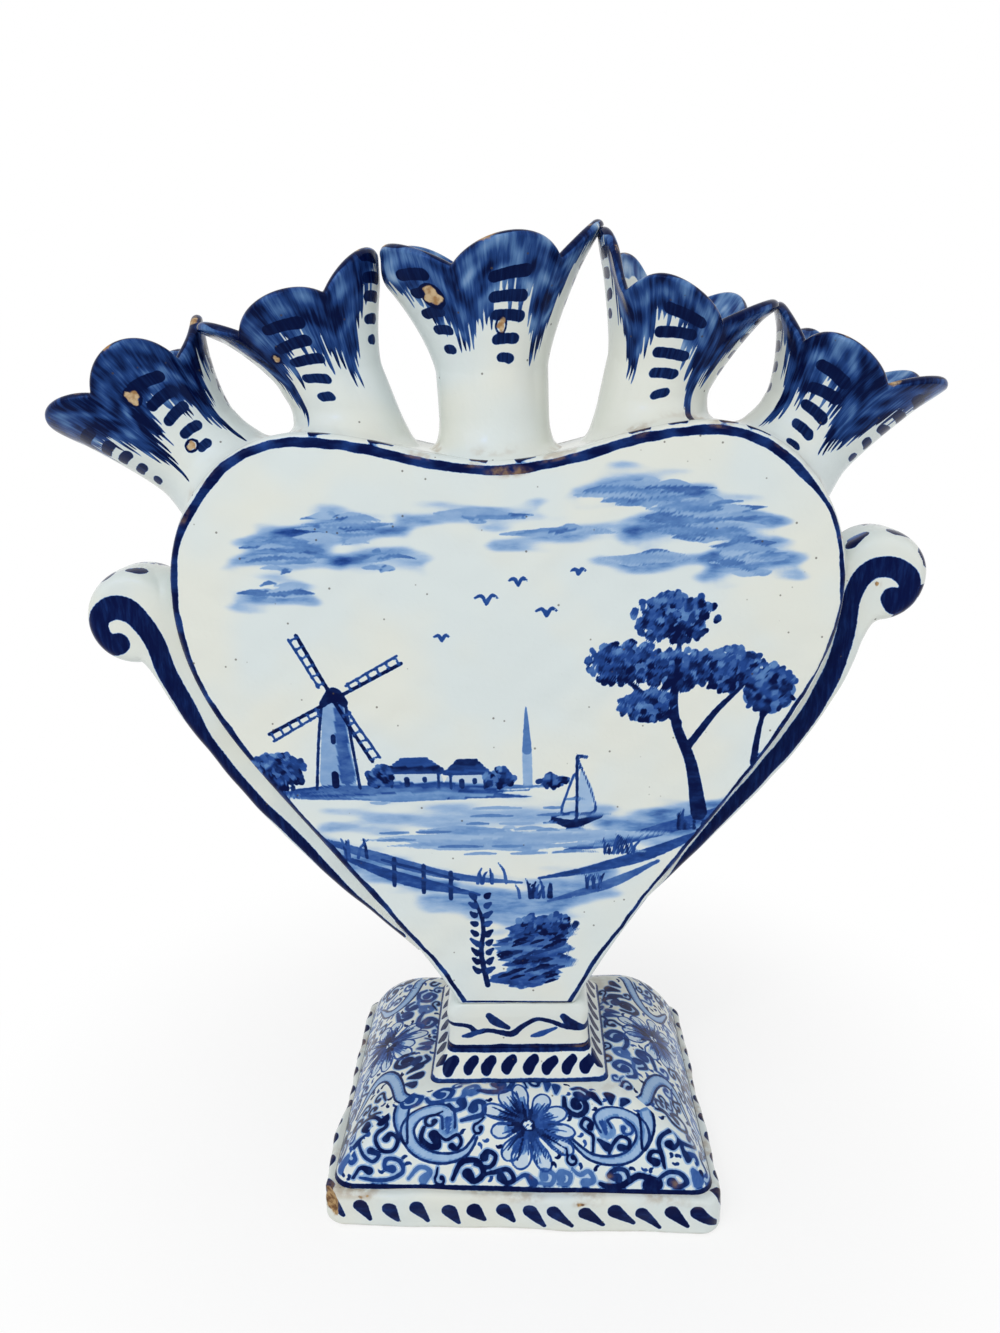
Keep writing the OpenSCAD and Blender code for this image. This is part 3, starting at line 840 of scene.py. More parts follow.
@dataclass
class Base:
    """The foot band and the domed base on it."""

    wide: float = 94.0
    deep: float = 79.0
    foot_high: float = 9.5
    corner: float = 5.0
    foot_wall: float = 9.0
    ledge: float = 2.0
    dome_high: float = 17.5
    dome_start: float = radians(28)
    dome_wall: float = 6.0
    collar: Pair = (44.0, 43.0)
    bore: Pair = (23.0, 22.0)
    top_corner: float = 2.5
    dash_pitch: float = 6.45

    def foot(self) -> Skin:
        """Builds the foot band: a round-edged frame with its front corner knocked off, dashed all round.

        Returns:
            The foot's surface.
        """
        around = 900
        outline = RoundRect(self.wide, self.deep, self.corner, around)
        w, d, h, wall = self.wide, self.deep, self.foot_high, 2 * self.foot_wall

        def row(inset: float, height: float) -> Triple:
            """Gives a row of the profile."""
            return w - inset, d - inset, height

        outer = np.concatenate([
            arc_rows(row(2.6, 0), row(0.2, 1.3), 6, True), np.linspace(row(0.2, 1.6), row(0.2, h - 1.6), 22),
            arc_rows(row(0.2, h - 1.3), row(2.6, h), 9, False), np.linspace(row(2.9, h), row(7, h), 8)])
        inner = [row(9, h), row(wall - 1, h), row(wall, h - 1), row(wall, 1), row(wall - 1, 0)]
        profile = np.concatenate([outer, inner])
        skin = profile_skin(outline, profile, self.corner)
        points, paint = skin.points, skin.paint
        outside = np.repeat(np.arange(len(profile)) < len(outer), around)
        push = 0.35 * wobble(points, 26, 3) + 0.15 * wobble(points, 9, 4)
        points[:, :2] += np.where(outside, push, 0)[:, None] * np.tile(outline.normal, (len(profile), 1))
        points[:, 2] += np.where(outside & (points[:, 2] > 4), 0.25 * wobble(points[:, :2], 30, 5), 0)
        gone = norm((points - (-46.6, -38.8, 5.6)) / (3.6, 4.0, 5.0), axis=1)
        points[:, :2] += 2.8 * np.clip(1 - gone, 0, 1)[:, None] * (0.75, 0.66)
        paint.clay[:] = np.where(outside, (0.86 - gone + 0.12 * wobble(points, 3, 8)) * 3.0, UNPAINTED)
        low = 0.75 * ease(1.2, 0.0, points[:, 2])
        top = 0.62 * ease(h - 2.4, h - 0.4, points[:, 2]) * ease(-0.3, 0.9, wobble(points, 14, 9))
        paint.stain[:] = np.where(outside, np.maximum(low, top), 0)
        paint.chart[:] = points[:, [2, 0, 1]]
        over = np.where(profile[:, 2] > 5, (w - 0.2 - profile[:, 0]) / 2, 0)
        up = points[:, 2] + np.repeat(over, around)
        for number, side in enumerate(Side):
            picked = np.flatnonzero(np.tile(outline.on(side), len(profile)) & outside)
            brush = Brush(paint, picked, side.across(points[picked]), up[picked], 20 + number)
            rng, wide = brush.rng, side.wide
            span = (w if wide else d) - 7.6
            for share in np.linspace(0, 1, round(span / self.dash_pitch) + 1):
                brush.dash(span * (share - 0.5) + rng.normal(0, 0.3),
                           (4.5 if wide else 6.3) + rng.normal(0, 0.2),
                           rng.normal(-57 + 20 * share if wide else -66, 4),
                           (blend(7.2, 9.6, share) if wide else 9.4) + rng.normal(0, 0.4),
                           rng.uniform(1.6, 1.9), rng.uniform(0.9, 1.0), 0.3, 0.0)
            if side is Side.FRONT:
                for chip in ((-37.8, 8.7, 0.55, 0.4), (-36.2, 9.2, 0.35, 0.3), (13.4, 8.3, 0.8, 0.4)):
                    brush.chip(*chip)
        return skin

    def dome(self) -> Skin:
        """Builds the dome: rings shrink by 1 - cos and rise by sin, from its slope at the ledge to level.

        Returns:
            The dome's surface, painted on its four sides.
        """
        around, steps = 900, 84
        low = np.array([self.wide, self.deep]) - 2 * self.ledge
        outline = RoundRect(low[0], low[1], self.corner, around)
        begin = self.dome_start
        turn = np.concatenate([np.linspace(begin, pi / 2, steps), [pi / 2], np.linspace(pi / 2, begin, 10)])
        inner = np.arange(len(turn)) > steps
        rise = (np.sin(turn) - sin(begin)) / (1 - sin(begin))
        run = 1 - np.cos(turn) / cos(begin)
        start = np.where(inner[:, None], low - 2 * self.dome_wall, low)
        size = blend(start, np.where(inner[:, None], self.bore, self.collar), run[:, None])
        high = self.foot_high + np.where(inner, self.dome_high - self.dome_wall, self.dome_high) * rise
        size[steps] = self.bore
        profile = np.column_stack([size, high])
        skin = profile_skin(outline, profile, blend(self.corner, self.top_corner, run))
        points = skin.points
        rising = np.repeat(rise, around)
        points[:, 2] += points[:, 0] * tan(STANCE.lean) * rising
        points[:, 0] -= STANCE.shift * rising
        outer = np.repeat(np.arange(len(profile)) < steps, around)
        mid = np.sin(pi * np.repeat(np.clip(np.arange(len(profile)) / steps, 0, 1), around))
        points[:, 2] += np.where(outer, 0.4 * wobble(points, 28, 11) * mid, 0)
        climb = way_along(points[:steps * around].reshape(steps, around, 3))
        for number, side in enumerate(Side):
            on = outline.on(side)
            face = np.flatnonzero(np.tile(on, steps))
            across = side.across(points[face]) + STANCE.shift * rising[face] * side.value[1][0]
            up = climb.ravel()[face]
            skin.paint.chart[face] = np.stack([across, up, np.full(len(face), 60.0 * number)], -1)
            rail = np.stack([climb[:, on].mean(1), size[:steps, 0 if side.wide else 1] / 2])
            self.ornament(Brush(skin.paint, face, across, up, 40 + number), rail, side.wide)
        joint = ease(0.93, 1.0, rising) * ease(0.2, 1.0, wobble(points, 14, 13))
        skin.paint.stain[:] = np.maximum(skin.paint.stain, np.where(outer, 0.3 * joint, 0))
        return skin

    def ornament(self, brush: Brush, rail: Array, wide: bool) -> None:
        """Paints one side: a flower, scrolls if it is wide, canes at its corners, vines, and curls between.

        Args:
            brush: Brush on that side's chart.
            rail: Climb and half width of the side in rows.
            wide: Whether it is the front or the back.
        """
        half = rail[1, 0]
        squeeze = np.array([half / 45, rail[0, -1] / 25.3])

        def edge(v: float) -> float:
            """Half the side's width at a place up it."""
            return float(np.interp(v, *rail))

        for scroll in SCROLLS if wide else ():
            band = np.reshape(scroll, (-1, 2)) * squeeze
            brush.stroke(band[:3], [2.3, 2.0, 1.5], 0.42, Layer.FILL)
            brush.leaf(band, 1.65, 0.3, 0.84, 1.0)
            brush.stroke([blend(band[1], band[0], 0.4), band[0] - (0.2, 0.8)], [0.9, 0.5], 0.66, Layer.FILL)
        canes = [np.reshape(CANES[wide], (-1, 2)) * (hand, 1) + (0.9 * wide, 0) for hand in (-1, 1)]
        for cane in canes:
            brush.leaf(cane, 1.7, 0.32, 0.9, 1.3)
        for tone, thick, *path in VINES:
            vine = np.reshape(path, (-1, 2)) * squeeze
            gap = min(norm(vine[:, None] - flow(cane, 4), axis=2).min() for cane in canes)
            if wide or gap > 2.4:
                fat = 1 + 0.5 * (len(vine) > 2) * ease(14, 20, vine[:, 1].mean())
                brush.vine(vine, thick * fat, tone)
        brush.flower(2.0 * squeeze[0], 13.2 * squeeze[1], 11.4 * squeeze[0], 0.79 * squeeze[1] / squeeze[0])
        brush.curls(edge, (-half, half, 2.6, rail[0, -1] - 0.4))
        brush.rule(half + 2, 0.65, 15, 0.07, 0.6, 0.95)
        for spot in SOILED if wide else ():
            brush.soil(*spot)

    def build(self) -> None:
        """Hangs the foot band and the dome."""
        self.foot().hang("painted_foot_band", "foot_band", PAINTED)
        self.dome().hang("painted_dome", "base_dome", PAINTED)


@dataclass
class Pedestal:
    """The sloping collar and the neck that carry the body."""

    collar: Pair = (44.0, 43.0)
    collar_high: float = 6.6
    neck: Pair = (35.0, 34.0)
    neck_high: float = 12.2
    corner: float = 2.5
    wall: float = 6.0
    around: int = 520
    steps: int = 30

    def sides(self, skin: Skin, outline: RoundRect, rows: int, seed: int) -> list[tuple[Brush, Side]]:
        """Makes a brush for each side.

        Args:
            skin: The surface.
            outline: The points round it.
            rows: Number of its outer rows.
            seed: Seed of the first brush.

        Returns:
            The brushes, each with its side.
        """
        brushes = []
        for number, side in enumerate(Side):
            face = np.flatnonzero(np.tile(outline.on(side), rows))
            points = skin.points[face]
            across, up = side.across(points), points[:, 2]
            skin.paint.chart[face] = np.stack([across, up, np.full(len(face), 50.0 * number)], -1)
            brushes.append((Brush(skin.paint, face, across, up, seed + number), side))
        return brushes

    def band(self) -> Skin:
        """Builds the collar: a slope from the dome's top in to the neck, with a row of leaning dashes.

        Returns:
            The collar's surface, in the object's frame.
        """
        bore = np.array(self.neck) - 2 * self.wall
        outer = np.linspace((*self.collar, 0.0), (*self.neck, self.collar_high), self.steps)
        outer[:, :2] -= (0.9 * np.sin(np.linspace(0, pi, self.steps)))[:, None]
        profile = np.concatenate([outer, [(*bore, self.collar_high)], [(*bore, 0.0)]])
        outline = RoundRect(*self.collar, self.corner + 1, self.around)
        skin = profile_skin(outline, profile, self.corner)
        for brush, _side in self.sides(skin, outline, self.steps, 70):
            rng = brush.rng
            for x in np.linspace(-16.6, 17.2, 8):
                brush.dash(x + rng.normal(0, 0.3), 3.35 + rng.normal(0, 0.12), rng.normal(42, 4),
                           rng.uniform(4.7, 5.2), rng.uniform(1.25, 1.45), rng.uniform(0.94, 1.0), 0.8)
            brush.rule(23, 0.35, 13, 0.05, 0.4, 0.84)
            brush.rule(23, 6.25, 13, 0.06, 0.55, 0.9)
        return skin.stand(0.0)

    def stem(self) -> Skin:
        """Builds the neck: a four-sided post that rounds in under the body, with a vine between two lines.

        Returns:
            The neck's surface, in the object's frame.
        """
        w, d = self.neck
        low, high = self.collar_high, self.collar_high + self.neck_high
        hole = (w - 2 * self.wall, d - 2 * self.wall)
        post = np.linspace((w, d, low), (w, d, high - 3.4), self.steps)
        post[:, :2] -= (0.5 * np.sin(np.linspace(0, pi, self.steps)))[:, None]
        bend = arc_rows((w, d, high - 3.2), (w - 5.4, d - 0.6, high), 10, False)
        profile = np.concatenate([post, bend, [(*hole, high), (*hole, low)]])
        outline = RoundRect(w, d, self.corner, self.around)
        skin = profile_skin(outline, profile, self.corner)
        for brush, side in self.sides(skin, outline, len(profile) - 2, 80):
            turned = (1 if side.wide else -1, 1)
            vine = [(-17.6, 6.9), (-12.4, 6.3), (-10.2, 4.5), (-7.4, 4.9), (-4.4, 4.3), (-1.4, 3.9),
                    (1.4, 6.2), (4.8, 8.0), (8.2, 7.3), (12.0, 5.7), (17.6, 5.2)]
            for path, half, tone in (
                (vine, [0.45, 0.6, 0.7, 0.6, 0.7, 0.85, 0.7, 0.6, 0.6, 0.7, 0.8], 0.92),
                ([(-7.0, 9.2), (-5.4, 7.4), (-2.4, 5.6)], [0.85, 1.2, 0.6], 0.86),
                ([(11.2, 8.8), (13.0, 6.8), (16.0, 5.4)], [0.8, 1.25, 0.7], 0.9),
                ([(-13.6, 3.3), (-11.6, 3.7), (-8.4, 5.1)], [0.4, 0.75, 0.4], 0.8),
                ([(3.4, 3.2), (5.6, 3.8), (9.4, 5.4)], [0.4, 0.8, 0.35], 0.7)):
                brush.stroke(np.array(path) * turned + (0, low), half, tone)
            brush.rule(17.6, low + 0.25, 14, 0.07, 0.75, 0.95)
        grimy = skin.points[:, 2] - low
        skin.paint.stain[:] = 0.6 * ease(1.2, 0.0, grimy) * ease(0.1, 0.9, wobble(skin.points, 9, 88))
        return skin.stand(0.0)

    def build(self) -> None:
        """Hangs the collar and the neck."""
        self.band().hang("painted_collar", "collar", PAINTED)
        self.stem().hang("painted_neck", "neck", PAINTED)


@dataclass(frozen=True)
class Heart:
    """Outline of the flat body, across and up from the neck's top."""

    wide: float = 147.0
    high: float = 137.5
    widest: float = 103.0
    foot: float = 28.5
    lobe_span: float = 86.0
    cleft: float = 7.0
    flank_angle: float = radians(29)
    flank_pull: float = 57.5
    widest_pull: float = 31.0
    points: int = 1600

    def top(self, x: Number) -> Number:
        """Finds the crown's height: a cosine dip between the lobes, then elliptic shoulders.

        Args:
            x: Places across.

        Returns:
            The height at each.
        """
        lobe, across = self.lobe_span / 2, np.abs(x)
        dip = self.high - self.cleft * (1 + np.cos(pi * np.minimum(across, lobe) / lobe)) / 2
        share = np.clip((across - lobe) / (self.wide / 2 - lobe), 0, 1)
        return np.where(across < lobe, dip, self.widest + (self.high - self.widest) * np.sqrt(1 - share**2))

    def half_edge(self) -> tuple[Array, Array]:
        """Right half of the outline, from the foot up: a Bezier flank, an elliptic shoulder and the dip.

        Returns:
            The points and their outward normals.
        """
        t = np.linspace(0, 1, 600)[:, None]
        foot, wide = np.array([self.foot / 2, 0.0]), np.array([self.wide / 2, self.widest])
        pull = self.flank_pull * np.array([sin(self.flank_angle), cos(self.flank_angle)])
        flank = ((1 - t)**3 * foot + 3 * (1 - t)**2 * t * (foot + pull)
                 + 3 * (1 - t) * t**2 * (wide - [0, self.widest_pull]) + t**3 * wide)
        lobe, turn = self.lobe_span / 2, np.linspace(0, pi / 2, 400)[1:]
        shoulder = (lobe, self.widest) + heading(turn) * (self.wide / 2 - lobe, self.high - self.widest)
        x = np.linspace(lobe, 0, 400)[1:]
        edge = spaced(np.concatenate([flank, shoulder, np.stack([x, self.top(x)], -1)]), self.points)
        way = np.gradient(edge, axis=0)
        way[-1] = (-1, 0)
        normal = np.stack([way[:, 1], -way[:, 0]], -1)
        return edge, normal / norm(normal, axis=1, keepdims=True)


HEART = Heart()


@dataclass
class Panel:
    """A slab of the heart: its surface, its places across and up, and how far its loops run round and out."""

    skin: Skin
    flat: Array
    run: Array
    out: Array


@dataclass
class Body:
    """The flat heart: a painted panel in front and behind, and the walls between them."""

    deep: float = 34.0
    panel: float = 5.0
    wall: float = 5.0
    rim: float = 1.8
    border: float = 4.0
    front_grid: tuple[int, int] = (300, 268)
    back_grid: tuple[int, int] = (260, 232)
    corner_low: float = 62.0
    corner_turn: float = radians(50)

    def rails(self, columns: int, rows: int) -> tuple[Array, Array, Array]:
        """Finds the edges of a panel's field, and the outline point that belongs to each of their points.

        Args:
            columns: Points along the low and high edges.
            rows: Points along the left and right edges.

        Returns:
            The low, high and right edge, in rows of the outline's place and then the field's.
        """
        edge, normal = HEART.half_edge()
        inside = edge - self.border * normal
        pair = np.column_stack([edge, inside])
        low = int(np.argmax(edge[:, 1] > self.corner_low))
        turn_x = HEART.lobe_span / 2 + (HEART.wide - HEART.lobe_span) / 2 * cos(self.corner_turn)
        high = int(np.argmax((edge[:, 0] < turn_x) & (edge[:, 1] > HEART.widest)))
        flat_x = np.linspace(0, edge[0, 0], 60, endpoint=False)
        zero = 0 * flat_x
        flat = np.column_stack([flat_x, zero, flat_x * inside[0, 0] / edge[0, 0], zero + inside[0, 1]])
        bottom, crown = np.concatenate([flat, pair[:low + 1]]), pair[high:][::-1]

        def across(rail: Array) -> Array:
            """Samples a half rail at even steps across.

            Args:
                rail: Rows of the half, from the middle out.

            Returns:
                The rows on both sides.
            """
            x = np.linspace(-rail[-1, 0], rail[-1, 0], columns)
            found = np.stack([np.interp(np.abs(x), rail[:, 0], column) for column in rail.T], -1)
            found[:, [0, 2]] *= np.sign(x)[:, None]
            return found

        return across(bottom), across(crown), spaced(pair[low:high + 1], rows)

    def slab(self, face: int) -> Panel:
        """Builds a panel: a Coons patch between four edges, then loops that take its border over a rim.

        Args:
            face: -1 for the front panel, 1 for the back one.

        Returns:
            The panel, upright.
        """
        columns, rows = self.front_grid if face < 0 else self.back_grid
        low, high, right = self.rails(columns, rows)
        left = right * np.array([-1, 1, -1, 1])
        u, v = np.linspace(0, 1, columns)[None, :, None], np.linspace(0, 1, rows)[:, None, None]
        b, t, l, r = low[None, :, 2:], high[None, :, 2:], left[:, None, 2:], right[:, None, 2:]
        field_points = ((1 - v) * b + v * t + (1 - u) * l + u * r
                        - (1 - u) * (1 - v) * b[:, :1] - u * (1 - v) * b[:, -1:]
                        - (1 - u) * v * t[:, :1] - u * v * t[:, -1:]).reshape(-1, 2)
        index = np.arange(rows * columns).reshape(rows, columns)
        loop = np.concatenate([index[0], index[1:, -1], index[-1, -2::-1], index[-2:0:-1, 0]])
        pair = np.concatenate([low, right[1:], high[-2::-1], left[-2:0:-1]])
        turn = np.linspace(0, pi / 2, 7)
        plain = np.linspace(self.border, self.rim, 6)[1:-1]
        inset = np.concatenate([plain, self.rim * (1 - np.sin(turn)), [0, 0]])
        depth = np.concatenate([0 * plain, self.rim * (1 - np.cos(turn)), [0.62 * self.panel, self.panel]])
        out = np.concatenate([self.border - inset[:-2], [self.border + 1.2, self.border + 3.2]])
        share = (1 - inset / self.border)[:, None, None]
        rings = blend(pair[None, :, 2:], pair[None, :, :2], share)
        flat = np.concatenate([field_points, rings.reshape(-1, 2), [[0.0, 70.0]]])
        back = np.concatenate([np.zeros(len(field_points)), np.repeat(depth, len(loop)), [self.panel]])
        here, beyond = index[:-1, :-1], index[1:, 1:]
        halves = ((here, index[:-1, 1:], beyond), (here, beyond, index[1:, :-1]))
        field_rows = np.concatenate([np.stack(half, -1).reshape(-1, 3) for half in halves])
        first = len(field_points) + np.arange(len(loop))
        ring_faces = belts(len(inset), len(loop), False) + len(field_points)
        seam = np.concatenate([np.stack([loop, np.roll(loop, -1), np.roll(first, -1)], -1),
                               np.stack([loop, np.roll(first, -1), first], -1)])
        hub = fan(first + (len(inset) - 1) * len(loop), len(flat) - 1)
        uneven = 0.22 * wobble(flat, 38, 101) + 0.06 * wobble(flat, 11, 102)
        y = face * (self.deep / 2 - back + np.where(back < 0.1, uneven, 0))
        points = np.stack([flat[:, 0], y, flat[:, 1]], -1)
        skin = Skin(points, np.concatenate([field_rows[:, ::-1], seam, ring_faces, hub]))
        run = np.tile(way_along(pair[:, :2]), len(inset))
        return Panel(skin, flat, run, np.repeat(out, len(loop)))

    def painted(self, face: int, dabs: Sequence[float], seed: int) -> tuple[Panel, Brush]:
        """Builds a panel with a line inside its rim, uneven as a hand draws it, and dabs over the rim's edge.

        Args:
            face: -1 for the front panel, 1 for the back one.
            dabs: Places across of the dabs on the crown.
            seed: Seed of the brush.

        Returns:
            The panel, and a brush on its face as that is seen.
        """
        panel = self.slab(face)
        paint, flat, run, out = panel.skin.paint, panel.flat, panel.run, panel.out
        loops = np.arange(len(flat) - 1 - len(run), len(flat) - 1)
        x, z = flat[loops].T
        crown = ease(116, 128, z)
        right, left = ease(10, 45, x) * (1 - crown), ease(-10, -45, x) * (1 - crown)
        shaky = np.stack([run, 0 * run], -1)
        middle = (2.25 - 0.25 * crown + 0.8 * right + 0.75 * left
                  + 0.2 * wobble(shaky, 23, 111) + 0.08 * wobble(shaky, 7, 112))
        half = 0.72 + 0.24 * crown - 0.24 * right + 0.14 * left + 0.1 * wobble(shaky, 17, 113)
        half = half * blend(0.72, 1.0, ease(10, 50, z))
        sole = ease(6.0, 2.0, z)
        middle, half = blend(middle, 2.3, sole), blend(half, 0.6, sole)
        paint.lay(loops, half - np.abs(out - middle), 0.9 + 0.06 * wobble(shaky, 9, 114), Layer.LINE)
        brush = Brush(paint, loops, x, out, 115)
        rng = brush.rng
        for place in dabs:
            brush.dash(place, self.border + 0.3, rng.uniform(-12, 12), rng.uniform(4.4, 6.4), 0.9, 0.96, 0.6)
        top = loops[(z > 112) & (out > 2.5)]
        paint.stain[top] = 0.5 * ease(0.4, 1.2, wobble(flat[top], 13, 117))
        paint.chart[:, :2] = flat[:, ::-1]
        seen = np.flatnonzero(face * panel.skin.points[:, 1] > self.deep / 2 - 1.0)
        return panel, Brush(paint, seen, -face * flat[seen, 0], flat[seen, 1], seed)

    def front(self) -> Skin:
        """Builds the front panel with its landscape.

        Returns:
            The panel, in the object's frame.
        """
        panel, brush = self.painted(-1, (-37.6, -24.9, -4.6, 5.5, 29.3, 37.2, 47.7, 53.9), 130)
        Landscape(brush).paint()
        bite = np.hypot((panel.flat[:, 0] - 1.5) / 6.0, (panel.flat[:, 1] - 128.2) / 1.6)
        paint = panel.skin.paint
        paint.stain[:] = np.maximum(paint.stain, 0.95 * ease(1.0, 0.35, bite))
        return panel.skin.stand(STANCE.neck_top)

    def behind(self) -> Skin:
        """Builds the back panel with a spray of flowers.

        Returns:
            The panel, in the object's frame.
        """
        panel, brush = self.painted(1, (-50, -36, -20, -7, 8, 22, 37, 50), 150)
        for x, y, size in ((0, 80, 17), (-34, 100, 12.5), (34, 98, 12.5), (-20, 52, 9.5), (23, 55, 9.5)):
            brush.flower(x, y, size)
        for stem in (((0, 14), (-1, 36), (1, 62)), ((-1, 28), (-12, 34), (-19, 43)),
                     ((0, 34), (13, 40), (21, 46)), ((-3, 44), (-24, 66), (-34, 88)),
                     ((2, 46), (26, 68), (34, 86))):
            brush.stroke(stem, [0.9, 0.8, 0.6], 0.7)
        for x, y, turn, hand in (
            (-12, 20, 40, 1), (12, 23, 140, -1), (-42, 72, 20, 1), (42, 72, 160, -1), (-16, 112, 300, -1),
            (16, 112, 240, 1), (-56, 88, 330, 1), (56, 86, 210, -1), (-50, 116, 300, 1), (50, 116, 240, -1)):
            brush.tendril(x, y, 4.2, turn, hand, 0.62)
        for x, y, turn in ((-7, 58, 150), (9, 60, 30), (-14, 66, 200), (16, 68, 340), (-26, 78, 170),
                           (27, 78, 10), (-9, 26, 160), (9, 30, 20), (-48, 96, 180), (49, 94, 0)):
            root, way = np.array([x, y]), heading(radians(turn))
            brush.leaf([root, root + 4.5 * way + (0, 1.2), root + 9.5 * way], 1.9, 0.34, 0.78)
        return panel.skin.stand(STANCE.neck_top)

    def flank(self, hand: int) -> Skin:
        """Builds a side wall: a flat section carried up the flank between the panels.

        Args:
            hand: 1 for the right wall, -1 for the left.

        Returns:
            The wall, in the object's frame.
        """
        edge, normal = HEART.half_edge()
        stop = int(np.argmax(edge[:, 1] >= HEART.widest))
        path, way = edge[:stop:6], normal[:stop:6]
        half = self.deep / 2 - self.panel
        outer, inner = np.linspace(-half, half, 24), np.linspace(half, -half, 6)
        y, inset = np.concatenate([outer, inner]), np.concatenate([0 * outer, 0 * inner + self.wall])
        x = hand * (path[:, :1] - inset * way[:, :1])
        z = np.maximum(path[:, 1:] - inset * way[:, 1:], 0.0)
        rings = np.stack([x, np.broadcast_to(y, x.shape), z], -1)
        return tube(rings).stand(STANCE.neck_top)

    def crown(self) -> None:
        """Copies the bored crown strip, merges its points and shades its curve smooth."""
        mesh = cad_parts["top_wall"].data.copy()
        work = bmesh.new()
        work.from_mesh(mesh)
        bmesh.ops.remove_doubles(work, verts=work.verts, dist=1e-6)
        work.to_mesh(mesh)
        work.free()
        mesh.shade_smooth()
        mesh.set_sharp_from_angle(angle=radians(38))
        mesh.name = "glazed_crown"
        attach(mesh, "top_wall", WHITE)

    def build(self) -> None:
        """Hangs the panels and walls, and glazes the floor between them."""
        self.front().hang("painted_front_panel", "front_wall", PAINTED)
        self.behind().hang("painted_back_panel", "back_wall", PAINTED)
        self.flank(-1).hang("glazed_left_side", "left_side_wall", WHITE)
        self.flank(1).hang("glazed_right_side", "right_side_wall", WHITE)
        self.crown()
        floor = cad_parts["body_floor"]
        floor.data.materials.clear()
        floor.data.materials.append(WHITE.material())


